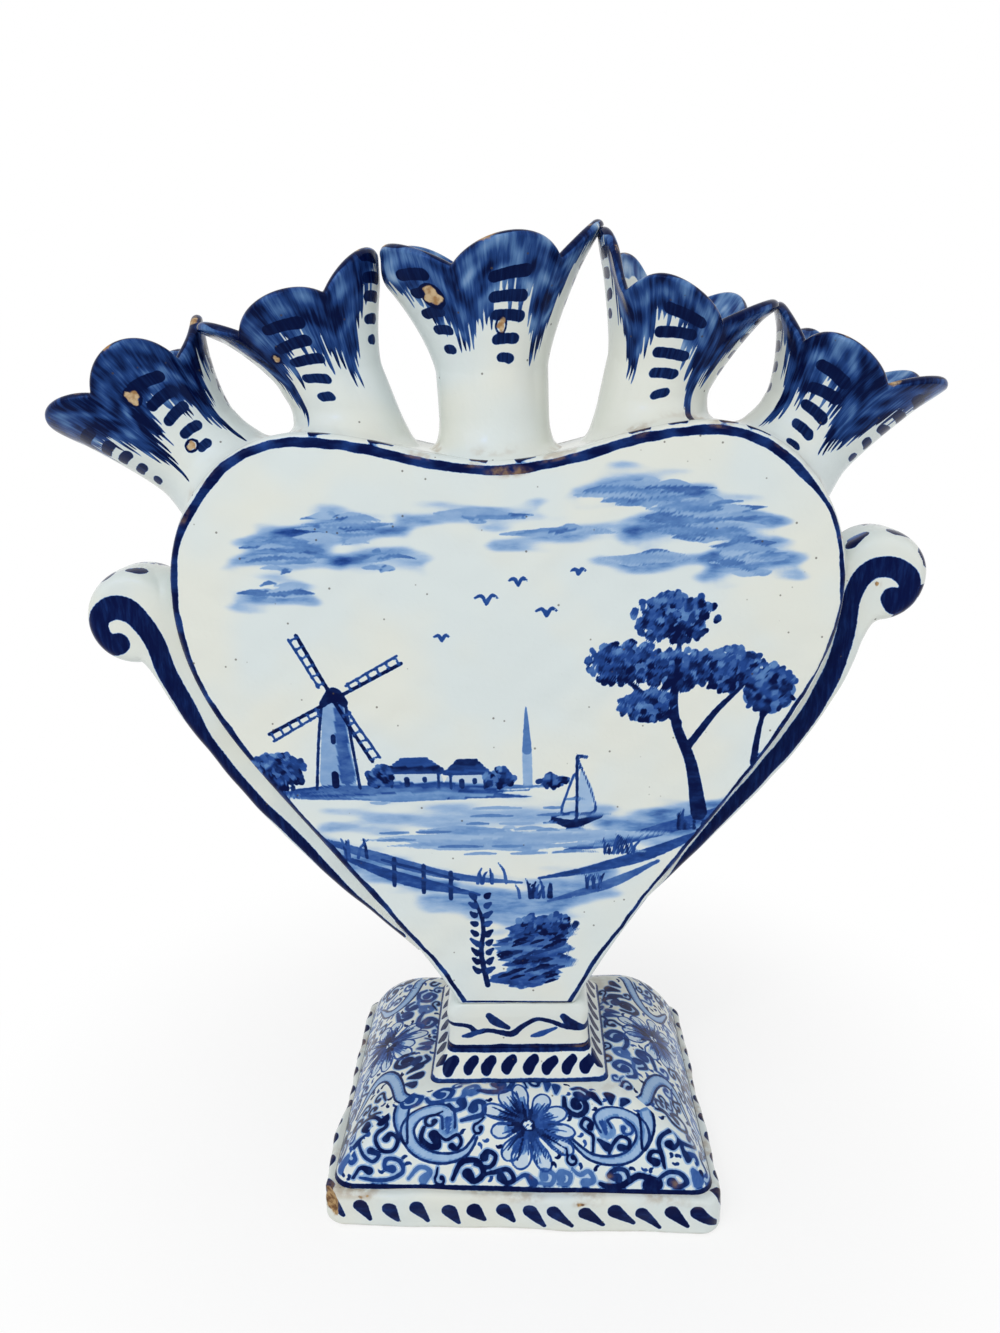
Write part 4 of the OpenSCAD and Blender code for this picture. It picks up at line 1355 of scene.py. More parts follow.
@dataclass
class Landscape:
    """A waterside with a mill, cottages, a tree and a boat, washed and dabbed in blue."""

    brush: Brush

    def streaks(self, spot: Row, count: int, tones: Pair, half: float) -> None:
        """Drags level strokes over an oval, as a half-dry brush leaves them.

        Args:
            spot: Middle of the oval, its half width and its half height.
            count: Number of strokes.
            tones: Least and greatest strength.
            half: Half the width of a stroke.
        """
        x, y, wide, high = spot
        rng = self.brush.rng
        for _ in range(count):
            rise = rng.uniform(-1, 1)
            room = wide * sqrt(1 - rise * rise)
            at, long = x + rng.uniform(-0.6, 0.6) * room, rng.uniform(0.25, 0.6) * room
            level = y + rise * high
            path = [(at - long, level + rng.normal(0, 0.3)), (at, level + 0.25),
                    (at + long, level + rng.normal(0, 0.3))]
            halves = [0.15, half * rng.uniform(0.6, 1.2), 0.15]
            self.brush.stroke(path, halves, rng.uniform(*tones), Layer.FILL)

    def sky(self) -> None:
        """Washes two banks of cloud, drags a dry brush through them and sets birds between them."""
        b, rng = self.brush, self.brush.rng
        cloud = np.array([(-1, -0.4), (-0.3, 0.3), (0.5, 0), (1, -0.5)])
        for x, y, wide, high, count in (
            (-47, 112, 11, 4.0, 30), (-35, 117, 13, 3.2, 26), (-27, 110, 8, 2.0, 12), (-50, 104, 8, 2.2, 12),
            (-8, 119, 15, 1.3, 10), (13, 115, 14, 1.2, 9), (30, 123, 14, 2.6, 22), (42, 117, 15, 4.6, 44),
            (53, 109, 9, 4.6, 34), (31, 109, 11, 1.5, 12)):
            path = (x, y) + cloud * (wide, high) + rng.normal(0, 0.8, cloud.shape)
            b.wash(path, np.multiply((0.3, 0.9, 0.7, 0.3), high), 0.44, 2.4)
            self.streaks((x, y, wide, high), count, (0.24, 0.6), 0.7)
        wings = np.array([(-1, 0.5), (-0.4, 0.7), (0, 0), (0.5, 0.75), (1, 0.45)])
        for x, y, size in ((-4, 100, 2.6), (3, 104, 2.0), (9, 97, 2.3), (-14, 92, 1.7), (16, 106, 1.6)):
            bird = (x, y) + size * wings
            b.stroke(bird[:3], [0.25, 0.4, 0.4], 0.7)
            b.stroke(bird[2:], [0.4, 0.4, 0.25], 0.7)

    def foliage(self, x: float, y: float, wide: float, high: float, count: int) -> None:
        """Masses mid-tone blobs round a clump and dabs small leaves over them, lighter to its top.

        Args:
            x: Place across of its middle.
            y: Place up of its middle.
            wide: Half its width.
            high: Half its height.
            count: Rough number of leaves.
        """
        rng = self.brush.rng
        for turn in turns(9):
            tip = (x, y) + rng.uniform(0.55, 0.8) * heading(turn) * (wide, high)
            self.brush.stroke([(x, y), tip], [0.42 * high, 0.34 * high], rng.uniform(0.5, 0.68), Layer.FILL)
        for _ in range(round(2.4 * count)):
            way = heading(rng.uniform(0, 2 * pi))
            dx, dy = sqrt(rng.uniform(0, 1.1)) * way
            tone = float(np.clip(0.78 - 0.16 * dy + 0.06 * dx + rng.normal(0, 0.15), 0.46, 1.0))
            self.brush.dash(x + wide * dx, y + high * dy, rng.uniform(0, 360), rng.uniform(1.5, 2.1),
                            rng.uniform(0.55, 0.85), tone, 0.8, 0.0)

    def tree(self) -> None:
        """Paints a leaning tree with six clumps on the right, and a young one by it."""
        self.brush.strokes((
            ([(43, 50), (41, 62), (37, 74), (38, 90)], [1.9, 1.3, 1.0, 0.5], 0.92),
            ([(40, 66), (46, 74), (52, 80)], [0.9, 0.7, 0.4], 0.92),
            ([(38, 72), (30, 79), (25, 83)], [0.8, 0.6, 0.4], 0.92),
            ([(55, 62), (56, 70), (58, 78)], [0.8, 0.6, 0.4], 0.92)))
        for clump in ((37, 96, 9, 5.5, 60), (26, 86, 8, 5, 52), (49, 84, 8, 5, 52), (38, 84, 7, 4.5, 40),
                      (31, 76, 6, 3.5, 26), (58, 79, 5.5, 5.5, 36)):
            self.foliage(*clump)

    def village(self) -> None:
        """Paints a mill, two cottages and a far spire on the left bank."""
        b, rng = self.brush, self.brush.rng
        b.strokes((([(-38, 60), (-38, 68), (-38, 77)], [4.2, 3.3, 2.5], 0.34),
                   ([(-35.8, 60), (-36.4, 68), (-36.8, 77)], [1.7, 1.4, 1.1], 0.62)), Layer.FILL)
        b.strokes((([(-40.3, 78.2), (-38, 80.6), (-35.6, 78.2)], [0.9, 1.3, 0.9], 0.92),
                   ([(-43, 57.5), (-41.9, 68), (-40.8, 77)], 0.36, 0.86),
                   ([(-33.2, 57.5), (-34.2, 68), (-35.2, 77)], 0.36, 0.86),
                   ([(-38.6, 58.4), (-38.6, 61)], 0.85, 0.95), ([(-38.4, 69), (-38.4, 70.2)], 0.6, 0.9)))
        hub = np.array([-38.0, 79.0])
        for turn in (28, 118, 208, 298):
            way, side = heading(radians(turn)), heading(radians(turn + 90))
            b.stroke([hub, hub + 17 * way], 0.42, 0.95)
            b.stroke([hub + 4 * way + 1.5 * side, hub + 17 * way + 2.0 * side], 0.3, 0.76)
            for f in np.linspace(4.5, 16.5, 6):
                b.stroke([hub + f * way, hub + f * way + 1.8 * side], 0.28, 0.7)
        for x, y, w in ((-21, 57.5, 6.0), (-9.5, 57, 4.4)):
            b.stroke([(x - w * 0.7, y + 1.6), (x + w * 0.7, y + 1.6)], 1.9, 0.14, Layer.FILL)
            for k in range(6):
                long, level = w * (1.12 - 0.13 * k), y + 3.7 + 0.62 * k
                end = (x + long, level + rng.normal(0, 0.1))
                b.stroke([(x - long, level), end], 0.45, rng.uniform(0.66, 0.95))
            for at, low, high, half, tone in ((-0.85, 0, 3.6, 0.32, 0.8), (0.85, 0, 3.6, 0.32, 0.8),
                                              (-0.3, 0.5, 1.9, 0.62, 0.86), (0.35, 1.5, 2.0, 0.55, 0.8)):
                b.stroke([(x + w * at, y + low), (x + w * at, y + high)], half, tone)
        b.stroke([(4, 58), (4, 66)], 1.1, 0.3, Layer.FILL)
        b.stroke([(4, 66), (4, 72), (4, 76)], [1.1, 0.6, 0.25], 0.52)
        self.streaks((-24, 56.2, 34, 1.8), 44, (0.4, 0.78), 0.8)
        for clump in ((-52, 62, 6.5, 4.5, 40), (-28.5, 60, 2.8, 2.6, 14), (-2.5, 59.4, 3.4, 2.2, 14),
                      (10, 58.4, 3.4, 1.6, 10)):
            self.foliage(*clump)

    def water(self) -> None:
        """Rules the water with short level strokes and sails a small boat on it."""
        b, rng = self.brush, self.brush.rng
        b.wash([(-40, 49), (-10, 50), (22, 50)], [1.5, 2.5, 1.5], 0.3, 3.0)
        for y in np.arange(40.5, 55.5, 1.9):
            for x in np.arange(-30 + rng.uniform(0, 6), 26, 11):
                if rng.uniform() < 0.62:
                    at, long = x + rng.uniform(-3, 3), rng.uniform(2, 5.5)
                    ripple = [(at - long, y), (at, y + rng.uniform(-0.2, 0.3)), (at + long, y)]
                    b.stroke(ripple, [0.25, 0.42, 0.25], rng.uniform(0.3, 0.55))
        b.stroke([(16.4, 50.6), (17.2, 54.6), (16.3, 61)], [0.5, 1.9, 0.3], 0.22, Layer.FILL)
        b.strokes((([(9.5, 49), (14, 47.7), (20.5, 49.4)], [0.5, 1.1, 0.4], 0.9),
                   ([(15, 48.5), (15.2, 56), (15.3, 64)], 0.34, 0.85),
                   ([(16.2, 50.3), (19.4, 51.2), (18, 57), (15.5, 63.4)], 0.3, 0.74),
                   ([(14.3, 50.6), (11.6, 51), (14.6, 60)], 0.3, 0.7),
                   ([(15.4, 64.4), (17.4, 64)], [0.3, 0.5], 0.8)))

    def bank(self) -> None:
        """Lays the near bank in long strokes, with reeds, a fence, a knoll, a bush and a plant."""
        b, rng = self.brush, self.brush.rng
        b.wash([(22, 46), (36, 47), (52, 50)], [2, 4, 2.5], 0.5, 2.5)
        b.wash([(-44, 43), (-30, 37), (-16, 33)], [2.5, 3.5, 2.0], 0.42, 2.5)
        b.wash([(-18, 30), (2, 27), (20, 33)], [3, 5, 3.5], 0.4, 3.0)
        b.strokes((([(-46, 46), (-30, 40), (-14, 35), (2, 33)], [0.4, 1.3, 1.0, 0.3], 0.62),
                   ([(-40, 41), (-24, 34), (-8, 30)], [0.4, 1.5, 0.4], 0.7),
                   ([(52, 52), (38, 47), (24, 43), (12, 41)], [0.5, 1.5, 1.1, 0.3], 0.66),
                   ([(46, 46), (32, 40), (18, 36), (6, 34)], [0.4, 1.5, 1.0, 0.3], 0.72),
                   ([(34, 38), (22, 32), (8, 28)], [0.4, 1.2, 0.3], 0.6)), Layer.FILL)
        for x0 in (-27.0, -20.5, -14.5):
            b.stroke([(x0, 24.6 - 0.3 * x0), (x0 + 0.3, 31.6 - 0.3 * x0)], 0.5, 0.84)
        b.strokes((([(-29.5, 39.4), (-20, 36.4), (-12.5, 34)], 0.34, 0.78),
                   ([(-29.5, 37), (-20, 34), (-12.5, 31.6)], 0.34, 0.74)))
        for x0, y0, n in ((27, 40, 9), (40, 46, 7), (-36, 40, 8), (5, 29, 9), (-6, 33, 6), (18, 31, 7)):
            for _ in range(n):
                lean, long, x = rng.normal(0, 1.1), rng.uniform(2.6, 5.2), x0 + rng.normal(0, 2.2)
                reed = [(x, y0), (x + 0.3 * lean, y0 + 0.6 * long), (x + lean, y0 + long)]
                b.stroke(reed, [0.42, 0.34, 0.2], rng.uniform(0.62, 0.92))
        self.streaks((0, 44, 34, 3), 26, (0.2, 0.4), 0.8)
        for knoll, count in (((5, 14, 10, 7.5), 90), ((7, 20, 9, 3), 30), ((1, 7.5, 7.5, 2.5), 30)):
            self.streaks(knoll, count, (0.46, 0.8), 1.15)
        for _ in range(60):
            x, y = rng.uniform(-3, 14), rng.uniform(6, 21)
            if abs(x) < 6 + 0.42 * y:
                tuft = [(x - 1.6, y - 0.7), (x, y), (x + 1.8, y + 0.4)]
                b.stroke(tuft, [0.2, 0.42, 0.2], rng.uniform(0.78, 1.0))
        self.foliage(8, 22, 7, 2.6, 30)
        b.stroke([(-7, 5.5), (-8.2, 14), (-7.4, 22), (-9.4, 30)], [0.7, 0.6, 0.5, 0.3], 0.9)
        for k, y in enumerate(np.linspace(9, 29, 9)):
            for hand in (-1, 1):
                b.dash(-7.8 + hand * 1.9, y + 0.9, 90 - hand * rng.uniform(40, 62),
                       rng.uniform(3.2, 4.4) - 0.15 * k, 0.85, rng.uniform(0.7, 0.98))

    def paint(self) -> None:
        """Paints the picture from the sky down."""
        self.sky()
        self.village()
        self.water()
        self.bank()
        self.tree()


@dataclass
class Handle:
    """A strap that swells up the flank and rolls outwards into a scroll; places across count outwards."""

    hand: int
    centre: Pair
    radius: float
    climb: Row
    shoulder: Pair
    outer: tuple[Pair, ...]
    # Places across and up and half widths by turns
    band: Row
    dashes: tuple[Pair, ...]
    thick: float = 10.4
    tip: float = 1.6
    swell: float = 70.0
    deep: float = 18.0
    low: float = 12.0
    slip: float = 0.1
    edge: float = 4.0
    roll_radius: float = 9.7
    steps: int = 440
    around: int = 96

    def sides(self) -> tuple[Array, Array]:
        """Finds the strap's edges, point for point: up the flank and over the roll, and round outside it.

        Returns:
            Places across and up of the edge by the body and of the outer edge.
        """
        edge, normal = HEART.half_edge()
        stop = int(np.argmax(edge[:, 1] >= HEART.widest)) + 40
        free = np.linspace(self.low, 64, 11)
        level = np.concatenate([free, self.climb])
        at = np.stack([np.interp(level, edge[:stop, 1], v) for v in (*edge[:stop].T, *normal[:stop].T)], -1)
        grown = np.sin(pi / 2 * np.minimum(1, (level - self.low) / self.swell))
        wide = blend(self.tip, self.thick, grown)[:, None]
        near = at[:, :2] + self.slip * at[:, 2:]
        outside = (near + wide * at[:, 2:])[:len(free)]
        crest, belly = (self.centre + self.radius * heading(np.radians(t))
                        for t in (np.linspace(100, 4, 6), np.linspace(-72, -4, 7)))
        pair = np.column_stack([np.concatenate([near, [self.shoulder], crest]),
                                np.concatenate([outside, self.outer, belly])])
        pair = spaced(flow(pair, 10), self.steps)
        return pair[:, :2], pair[:, 2:]

    def form(self) -> Skin:
        """Carries sections from edge to edge up the strap, rounded off near the outline.

        Returns:
            The handle, in the object's frame.
        """
        near, far = self.sides()
        middle, reach = (near + far) / 2, (near - far) / 2
        turn = turns(self.around)
        n = np.cos(turn)
        flat = middle[:, None] + reach[:, None] * n[None, :, None]
        below = np.degrees(np.arctan2(*(far - self.centre).T[::-1]))
        strap = norm(reach, axis=1) * np.where(below < 120, 1 - ease(-90, -50, below), 1)
        inside = np.maximum(strap[:, None] * (1 - np.abs(n)),
                            self.radius - norm(flat - self.centre, axis=2))
        full = (1 - (1 - np.clip(inside / self.edge, 0, 1)) ** 3) ** (1 / 3)
        depth = self.deep / 2 * full * np.sign(np.sin(turn)) * (1 + 0.02 * wobble(flat, 15, 210 + self.hand))
        rings = np.stack([self.hand * flat[..., 0], depth, flat[..., 1]], -1)
        skin = tube(rings)
        self.decorate(skin)
        return skin.stand(STANCE.neck_top)

    def decorate(self, skin: Skin) -> None:
        """Paints the band that follows the strap into the scroll, on both faces, and dashes over the roll.

        Args:
            skin: The handle, upright.
        """
        x, y, z = self.hand * skin.points[:, 0], skin.points[:, 1], skin.points[:, 2]
        path = np.reshape(self.band, (-1, 3))
        for face in (-1, 1):
            picked = np.flatnonzero(face * y > 0.3 * self.deep / 2)
            brush = Brush(skin.paint, picked, x[picked], z[picked], 230 + self.hand)
            brush.stroke(path[:, :2], path[:, 2], 0.93, Layer.FILL)
            if self.hand > 0:
                brush.chip(self.centre[0] - 1.8, self.centre[1] - 1.2, 0.5, 0.5)
        away = np.hypot(x - self.centre[0], z - self.centre[1])
        turn = np.arctan2(z - self.centre[1], x - self.centre[0])
        roll = np.flatnonzero((away > 6.0) & (x > 74) & (np.abs(y) < 0.95 * self.deep / 2))
        brush = Brush(skin.paint, roll, self.roll_radius * turn[roll], y[roll], 232 + self.hand)
        degree = self.roll_radius * radians(1)
        for place, arc in self.dashes:
            brush.dash(degree * place, -5.4 if place > 50 else -7.4, brush.rng.uniform(172, 188),
                       degree * arc + 1.2, 1.75, 0.95, 0.6)
            brush.dash(degree * (place + 18), 4.8, brush.rng.uniform(160, 200), 5.6, 1.5, 0.93, 0.6)
        brush.stroke([(degree * a, 0.4 + 0.02 * a) for a in (112, 90, 68)], [0.3, 0.5, 0.3], 0.9)
        skin.paint.chart[:] = np.stack([y + x, z - x, np.full(len(x), 40.0 * self.hand)], -1)

    def build(self, node: str) -> None:
        """Hangs the handle in place of a node."""
        self.form().hang(f"glazed_{node}", node, WHITE)


LEFT_HANDLE = Handle(
    -1, (85.9, 96.7), 11.3, (73, 79, 85, 92, 98.5), (76.0, 105.2),
    ((71.0, 63.3), (74.2, 68.0), (79.2, 75.9), (82.8, 82.6), (85.6, 85.8)),
    band=(28, 14.5, 0.9, 32, 18.2, 1, 38.6, 25.6, 1.2, 43.4, 31.8, 1.3, 48.4, 38.2, 1.4, 53.6, 44.6, 1.4,
          60.2, 52.1, 1.6, 65.8, 59.6, 1.8, 70.6, 67, 2.1, 74, 74.9, 2.2, 78.2, 83.5, 2.3, 80.4, 91, 2.4,
          83.2, 96, 2.5, 86.4, 99, 2.8, 90.2, 99.4, 2.8, 93.2, 97, 2.4, 93.2, 93.6, 2.5, 91.3, 90.9, 2.7,
          89, 91.1, 2.6),
    dashes=((95.0, 25.0), (57.0, 21.0)), thick=11.3, tip=5.0, swell=45.0)
RIGHT_HANDLE = Handle(
    1, (84.3, 101.8), 10.5, (74, 82, 90, 98, 104.5), (76.2, 108.6),
    ((71.0, 65.4), (76.8, 75.2), (79.9, 81.9), (81.4, 87.0), (83.6, 90.8)),
    band=(26, 14.5, 0.8, 35.9, 25.6, 1, 42, 35, 1.2, 48.2, 43, 1.5, 54, 50, 1.8, 59.8, 57.2, 2, 64.8, 63.5,
          2.2, 69.4, 70.7, 2.3, 73.2, 78.5, 2.2, 75.4, 85.2, 2.2, 76.5, 91.1, 2.1, 77.1, 96.8, 2.1, 79,
          101.8, 2.2, 82.2, 104.2, 2.3, 86.4, 104, 2.4, 89.6, 101.3, 2.5, 89.6, 97.6, 2.5, 87.3, 96.1, 2.7,
          86.1, 97.3, 2.5),
    dashes=((122.0, 32.0), (68.0, 30.0), (24.0, 26.0), (-22.0, 16.0), (-66.0, 16.0)))


@dataclass
class Spouts:
    """The five lobed spouts along the crown."""

    foot_x: Row = (-64.0, -32.5, -1.5, 32.0, 64.0)
    tip_x: Row = (-101.0, -64.5, -25.4, 21.6, 59.8, 96.2)
    tip_rise: Row = (1.6, 21.0, 35.5, 39.0, 22.2, 4.0)
    sag: Row = (-4.0, 1.2, 2.2, 6.8, 2.6)
    flare_start: tuple[Pair, ...] = (
        (0.22, 0.3), (0.36, 0.46), (0.42, 0.42), (0.44, 0.16), (0.3, 0.2))
    lobe_turn: Row = (23.0, -5.0, 15.0, -2.0, -18.0)
    # Which spout, angle and width of a window in degrees, rise of the rim, swell outwards, turn inwards
    nudges: tuple[Row, ...] = (
        (0, 14, 26, 5, 0.11, 0.04), (1, 338, 28, 0.5, 0.13, 0.12), (1, 125, 26, 1.5, 0, 0),
        (2, 203, 30, 0.5, 0.24, 0.26), (2, 125, 26, 2.5, 0, 0), (3, 230, 15, -3, 0, 0),
        (3, 124, 26, 4, 0, 0), (3, 52, 26, 4.5, 0, 0), (4, 150, 25, 1.5, 0, 0), (4, 108, 26, 4, 0, 0),
        (4, 36, 24, 2, 0, 0))
    tip_gap: float = 0.8
    mouth_deep: float = 37.0
    waist: Pair = (24.5, 22.0)
    foot: Pair = (28.0, 29.0)
    fillet: Pair = (1.5, 0.06)
    wall: float = 3.2
    rim_wall: float = 2.5
    lobe_rise: float = 5.0
    lobe_notch: float = 3.0
    lobes: int = 5
    foot_share: float = 0.2
    flare_power: float = 1.35
    sunk: float = 0.35
    around: int = 360
    outside: int = 118
    lip: int = 10
    inside: int = 50
    wash_deep: Row = (16.0, 13.0, 14.5, 13.0, 14.0)
    wash_tone: Row = (0.7, 0.66, 0.57, 0.64, 0.67)
    hairs: int = 90
    ring_radius: float = 13.0
    thinner: Pair = (0.76, 0.98)
    # For a lobe of a spout: how far aside its bars stand, and its chips by place, half width and half height
    aside: dict[tuple[int, int], float] = field(default_factory=lambda: {(2, -1): 4.6})
    chips: dict[tuple[int, int], tuple] = field(default_factory=lambda: {
        (0, 0): ((-4.4, 11.5, 1.2, 1.5), (-2.0, 26.0, 1.0, 0.8)), (1, 0): ((-5.6, 14.5, 0.7, 0.8),),
        (2, -1): ((6.0, 12.4, 1.7, 2.2),), (2, 0): ((-1.2, 19.5, 0.7, 1.3),)})

    def form(self, i: int) -> Skin:
        """Builds a spout: ellipses on a waist, a spread foot and a mouth that flares by a power.

        The lobes of the mouth grow with the square of the height.

        Args:
            i: Which spout, from the left.

        Returns:
            The spout, painted, in the object's frame.
        """
        lip = pi * np.linspace(0, 1, self.lip + 2)[1:-1]
        none, back = np.zeros(self.outside), np.linspace(1, 0, self.inside)
        inner = blend(self.wall, self.rim_wall, ease(0.5, 1.0, back))
        share, wall, lift = (np.concatenate(parts)[:, None] for parts in (
            (np.linspace(0, 1, self.outside), np.ones(self.lip), back),
            (none, self.rim_wall * (1 - np.cos(lip)) / 2, inner),
            (none, self.rim_wall * np.sin(lip) / 2, 0 * back)))
        angle = turns(self.around)[None]
        foot = np.array([self.foot_x[i], HEART.top(self.foot_x[i])])
        tips = np.stack([self.tip_x, HEART.high + np.array(self.tip_rise)], -1)[i:i + 2]
        mouth, span = tips.mean(0), tips[1] - tips[0]
        fall = HEART.top(foot[0] + 0.5) - HEART.top(foot[0] - 0.5)
        slope = blend(atan2(fall, 1.0), atan2(span[1], span[0]), share)
        start = blend(*self.flare_start[i], (1 + np.cos(angle)) / 2)
        spread = np.maximum(0, 1 - share / self.foot_share) ** 2
        fillet = self.fillet[0] * np.maximum(0, 1 - share / self.fillet[1]) ** 2
        flare = np.maximum(0, (share - start) / (1 - start)) ** self.flare_power
        mouths = (norm(span) - self.tip_gap, self.mouth_deep)
        half_w, half_d = (waist / 2 + (low - waist) / 2 * spread + fillet + (wide - waist) / 2 * flare - wall
                          for low, waist, wide in zip(self.foot, self.waist, mouths))
        first = radians(270 + self.lobe_turn[i])
        bulge = (np.cos(self.lobes * (angle - first) / 2) ** 2 + 0.004) ** 0.38
        grown = share**2
        loose = wobble(np.insert(2.2 * heading(angle), 2, 9 * i, axis=-1), 3.4, 300)
        dent = self.lobe_notch * grown * (1 - bulge) / np.maximum(half_w, 5) - 0.03 * grown * loose
        curl = 1 + 0.03 * ease(0.82, 1.0, share) * bulge
        own = 0
        for which, at, wide, rise, swell, inwards in self.nudges:
            here = (which == i) * np.exp(-(((np.degrees(angle) - at + 180) % 360 - 180) / wide) ** 2)
            own = own + rise * here
            curl = curl + here * (swell * grown - inwards * ease(0.84, 1.04, share))
        sag = self.sag[i] * np.sin(angle) ** 2
        raised = grown * (self.lobe_rise * (bulge - 1) - sag + 0.7 * loose + own) + lift
        across = half_w * np.cos(angle) * (1 - dent) * curl
        y = half_d * np.sin(angle) * (1 - dent) * curl
        middle = blend(foot, mouth, share)
        x = middle[:, :1] + across * np.cos(slope) - raised * np.sin(slope)
        z = middle[:, 1:] + across * np.sin(slope) + raised * np.cos(slope)
        seat = self.seat(foot, slope[0, 0], half_w[[0, -1]] * np.cos(angle))
        settle = np.where(np.arange(len(share))[:, None] < self.outside + self.lip, seat[:1], seat[1:])
        settle = (settle - self.sunk) * spread
        points = np.stack([x - settle * np.sin(slope), y, z + settle * np.cos(slope)], -1)
        skin = Skin(points.reshape(-1, 3), belts(len(share), self.around, True))
        under = (1 - share) * norm(mouth - foot) - raised
        self.decorate(i, skin, angle[0], ((half_w + half_d) / 2).mean(1), under)
        return skin.stand(STANCE.neck_top)

    def seat(self, foot: Array, slope: float, across: Array) -> Array:
        """Finds how far along the foot's own normal the crown lies, by halving the reach.

        Args:
            foot: The foot's middle.
            slope: Its slope.
            across: Places across the foot.

        Returns:
            The reach at each place.
        """
        low, high = np.full(across.shape, -14.0), np.full(across.shape, 14.0)
        for _ in range(30):
            half = (low + high) / 2
            x = foot[0] + across * cos(slope) - half * sin(slope)
            z = foot[1] + across * sin(slope) + half * cos(slope)
            over = z > HEART.top(x)
            low, high = np.where(over, low, half), np.where(over, half, high)
        return (low + high) / 2

    def decorate(self, i: int, skin: Skin, angle: Array, size: Array, under: Array) -> None:
        """Paints a spout: a wash from the rim that ends in the brush's hairs, bars down each lobe, and chips.

        Args:
            i: Which spout.
            skin: Its surface, upright.
            angle: Angle of each point of a ring.
            size: Half the ring's mean size in each row.
            under: How far each point lies under the mouth.
        """
        rows, paint = skin.points.reshape(-1, self.around, 3), skin.paint
        rim = self.outside - 1 + self.lip // 2
        run = way_along(rows)
        down = np.abs(run - run[rim])
        inner = np.arange(len(rows))[:, None] > rim
        lobe_step = 2 * pi / self.lobes
        first = radians(270 + self.lobe_turn[i])
        lobe = np.round((angle - first) / lobe_step)
        off = angle - first - lobe * lobe_step
        crease = np.abs(off / (lobe_step / 2))
        sideways = ease(*self.thinner, np.abs(np.cos(angle)))
        ring = heading(angle) * self.ring_radius
        rng = np.random.default_rng(310 + i)
        place = (angle / (2 * pi) + 0.004 * wobble(ring, 4.0, 311 + i)) * self.hairs
        hair = rng.uniform(-3.0, 3.2, self.hairs) + 3.6 * (rng.uniform(size=self.hairs) > 0.85)
        comb = hair[np.floor(place).astype(int) % self.hairs] - 5.0 * np.abs(2 * (place % 1) - 1) ** 3
        comb = comb + 1.4 * wobble(ring, 9.0, 330 + i)
        depth = (self.wash_deep[i] + 8.5 * crease**1.7) * (1 - 0.5 * sideways) + comb
        coat = 6.5 + 1.5 * wobble(ring, 6.0, 340 + i)
        reach = np.where(inner, 0.5 * (coat - down), 0.5 * (depth - down))
        along = np.broadcast_to(self.ring_radius * angle, down.shape)
        cloudy = wobble(np.stack([along, down], -1), 7.0, 350 + i)
        fine = wobble(np.stack([along, 0.6 * down], -1), 2.6, 355 + i)
        tone = np.where(inner, 0.5, self.wash_tone[i] + 0.16 * crease) + 0.15 * cloudy + 0.08 * fine
        every = np.arange(down.size)
        paint.lay(every, reach.ravel(), np.clip(tone, 0.2, 0.95).ravel(), Layer.FILL)
        lip = 0.7 - np.abs(down - 0.1) + 0.35 * wobble(ring, 5.0, 360 + i)
        paint.lay(every, lip.ravel(), 0.92, Layer.LINE)
        bare = wobble(ring, 4.0, 370 + i) - 1.2
        paint.clay[:] = (0.4 * bare - 0.4 * np.maximum(0, down - 0.5)).ravel()
        around = off[None] * size[:, None]
        paint.chart[:] = np.stack([along, down, np.full(down.shape, 37.0 * i)], -1).reshape(-1, 3)
        for k in np.unique(lobe):
            column = int(np.argmin(np.abs(off) + 9 * (lobe != k)))
            level = np.interp(under[:rim], under[:rim, column][::-1], down[:rim, column][::-1])
            mine = np.flatnonzero(np.tile(lobe == k, rim))
            brush = Brush(paint, mine, around.ravel()[mine], level.ravel()[mine], 400 + 10 * i + int(k))
            rng = brush.rng
            facing = abs(cos(first + k * lobe_step))
            start = self.wash_deep[i] * (1 - 0.5 * ease(*self.thinner, facing)) - 5.0
            for step, long in enumerate((9.4, 8.6, 7.6, 6.2, 4.0)):
                brush.dash(self.aside.get((i, int(k)), 0.0) + rng.normal(0, 0.35),
                           start + 4.2 * step + rng.normal(0, 0.2), 180 + rng.normal(0, 5),
                           long * (1 - 0.3 * facing), 1.35 - 0.07 * step, 0.94 - 0.02 * step, 0.9)
            for chip in self.chips.get((i, int(k)), ()):
                oval = chip[:2] + heading(np.linspace(0, 2 * pi, 9)) * np.add(chip[2:], 0.3)
                brush.stroke(oval, 0.3 * chip[2], 0.97)
                brush.chip(*chip)
        foot = 0.7 * ease(6.0, 0.0, run[:self.outside]) * ease(0.3, 1.2, wobble(rows[:self.outside], 10, 380))
        paint.stain[:foot.size] = foot.ravel()

    def build(self) -> None:
        """Hangs the five spouts."""
        names = ("outer_left", "inner_left", "centre", "inner_right", "outer_right")
        for i, name in enumerate(names):
            self.form(i).hang(f"painted_{name}_spout", f"{name}_spout", BLUE)


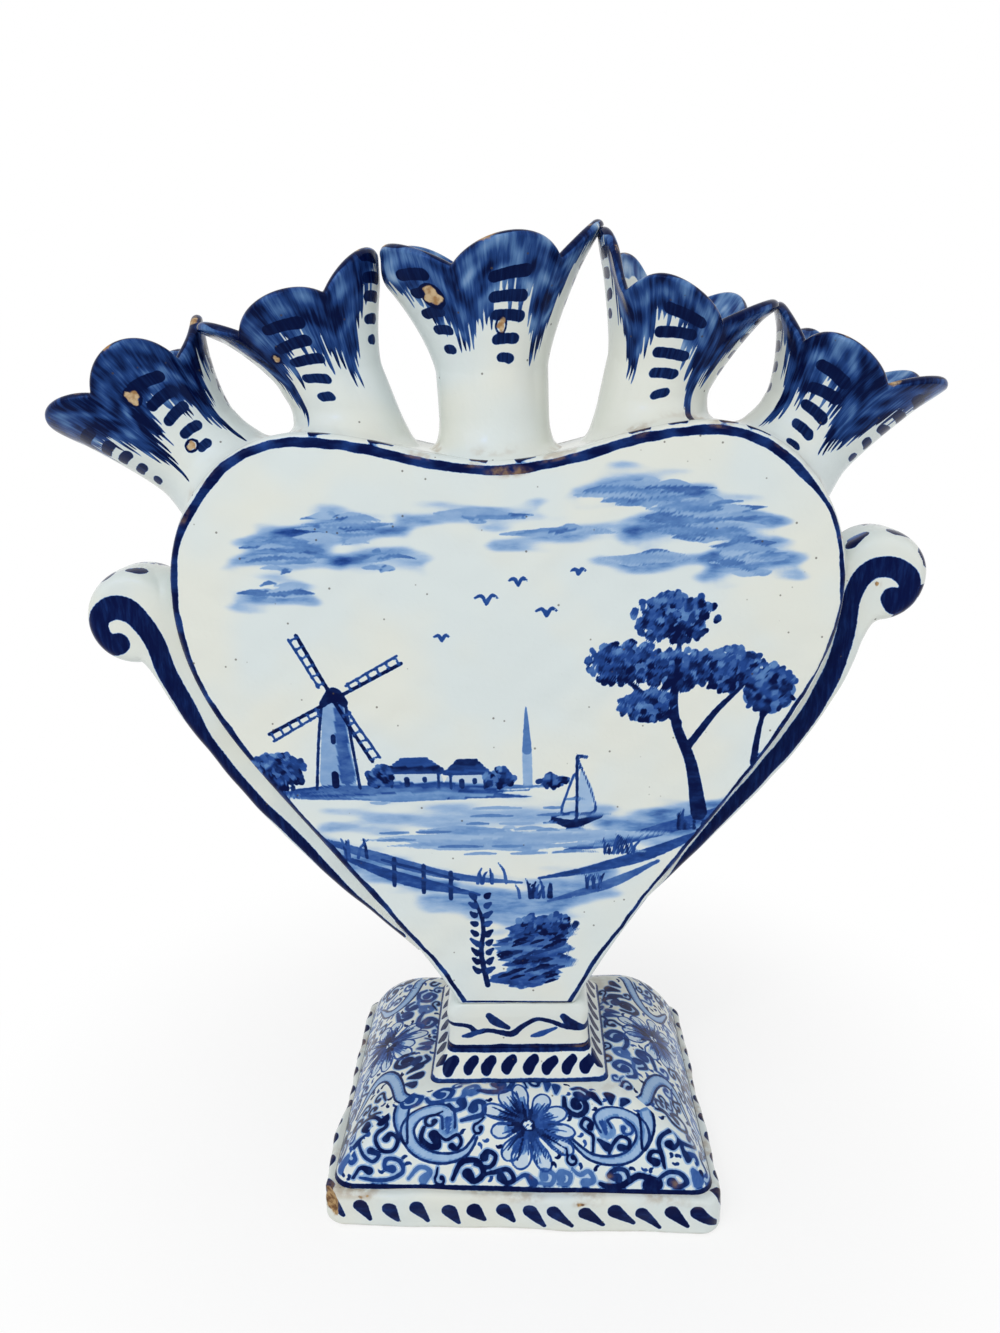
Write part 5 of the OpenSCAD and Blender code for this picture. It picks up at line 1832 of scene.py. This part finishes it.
@dataclass
class Studio:
    """White floor and surround, soft lamps and the camera."""

    image: tuple[int, int] = (1000, 1333)
    focal: float = 1000.0
    sensor: float = 36.0
    eye: Triple = (-0.2, -230.0, 191.0)
    pitch: float = radians(15.6)
    yaw: float = radians(1.5)
    ambient: float = 0.5
    floor_half: float = 1500.0
    shadow_reach: Pair = (0.05, 0.17)
    clear: float = 0.72

    def camera(self) -> None:
        """Sets up the camera level across, turned by its yaw and tipped down by its pitch."""
        data = bpy.data.cameras.new("camera")
        data.sensor_width = self.sensor
        data.lens = self.sensor * self.focal / max(self.image)
        data.clip_start = 0.01
        eye = bpy.data.objects.new("camera", data)
        eye.location = [v * MM for v in self.eye]
        eye.rotation_euler = (pi / 2 - self.pitch, 0, self.yaw)
        bpy.context.scene.collection.objects.link(eye)
        bpy.context.scene.camera = eye

    def lamp(self, name: str, place: Triple, size: float, power: float) -> None:
        """Hangs a soft square lamp that faces the middle of the vase.

        Args:
            name: The lamp's name.
            place: Its place in metres.
            size: Its side in metres.
            power: Its power in watts.
        """
        data = bpy.data.lights.new(name, "AREA")
        data.size, data.energy = size, power
        lamp = bpy.data.objects.new(name, data)
        lamp.location = place
        aim = np.array([0, 0, 0.12]) - np.array(place)
        flat = hypot(aim[0], aim[1])
        lamp.rotation_euler = (atan2(flat, -aim[2]), 0, atan2(aim[1], aim[0]) - pi / 2)
        bpy.context.scene.collection.objects.link(lamp)

    def seen(self, tree: Tree) -> Value:
        """Tells apart the rays that see a surface straight, in a gloss or through glass.

        Args:
            tree: Tree to add the nodes to.

        Returns:
            1 for those rays and 0 for others.
        """
        def ray(name: str) -> Value:
            """Reads one kind of ray."""
            return tree.add("ShaderNodeLightPath", {}, {}, name)
        return ray("Is Camera Ray").most(ray("Is Glossy Ray")).most(ray("Is Transmission Ray"))

    def surround(self) -> None:
        """Lights the scene evenly and shows white behind it."""
        world = bpy.data.worlds.new("surround")
        bpy.context.scene.world = world
        world.use_nodes = True
        tree = Tree(world.node_tree)
        strength = self.ambient + self.seen(tree) * (1 - self.ambient)
        light = tree.add("ShaderNodeBackground", {}, {"Color": (1, 1, 1, 1), "Strength": strength})
        tree.add("ShaderNodeOutputWorld", {}, {"Surface": light})

    def floor(self) -> None:
        """Lays a white floor that keeps the shadow near the vase and is plain white further out."""
        half = self.floor_half * MM
        mesh = bpy.data.meshes.new("floor")
        square = [(-half, -half, 0), (half, -half, 0), (half, half, 0), (-half, half, 0)]
        mesh.from_pydata(square, [], [(0, 1, 2, 3)])
        floor = bpy.data.objects.new("floor", mesh)
        bpy.context.scene.collection.objects.link(floor)
        paper = bpy.data.materials.new("white_paper")
        paper.use_nodes = True
        tree = Tree(paper.node_tree)
        place = tree.add("ShaderNodeTexCoord", out="Object")
        away = tree.add("ShaderNodeVectorMath", {"operation": "LENGTH"}, {0: place}, "Value")
        clear = self.clear + tree.ease(away, *self.shadow_reach) * (1 - self.clear)
        plain = clear * self.seen(tree)
        sheet = tree.add("ShaderNodeBsdfDiffuse", {}, {"Color": (0.97, 0.97, 0.97, 1)})
        white = tree.add("ShaderNodeEmission", {}, {"Color": (1, 1, 1, 1), "Strength": 1.0})
        both = tree.add("ShaderNodeMixShader", {}, {0: plain, 1: sheet, 2: white})
        tree.add("ShaderNodeOutputMaterial", {}, {"Surface": both})
        mesh.materials.append(paper)

    def build(self) -> None:
        """Sets up the whole studio."""
        bpy.context.scene.view_settings.view_transform = "Standard"
        self.camera()
        self.surround()
        self.floor()
        self.lamp("key", (-0.55, -0.75, 0.95), 0.9, 5.4)
        self.lamp("spark", (-0.3, -0.62, 0.78), 0.08, 0.75)
        self.lamp("fill", (0.8, -0.5, 0.55), 0.8, 1.8)


def main() -> None:
    """Builds the vase piece by piece, each piece logging its triangle count as it is hung."""
    logging.basicConfig(level=logging.INFO, format="%(name)s: %(message)s")
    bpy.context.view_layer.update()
    Studio().build()
    Base().build()
    Pedestal().build()
    Body().build()
    LEFT_HANDLE.build("left_handle")
    RIGHT_HANDLE.build("right_handle")
    Spouts().build()
    bpy.context.view_layer.update()


if __name__ == "__main__":
    main()
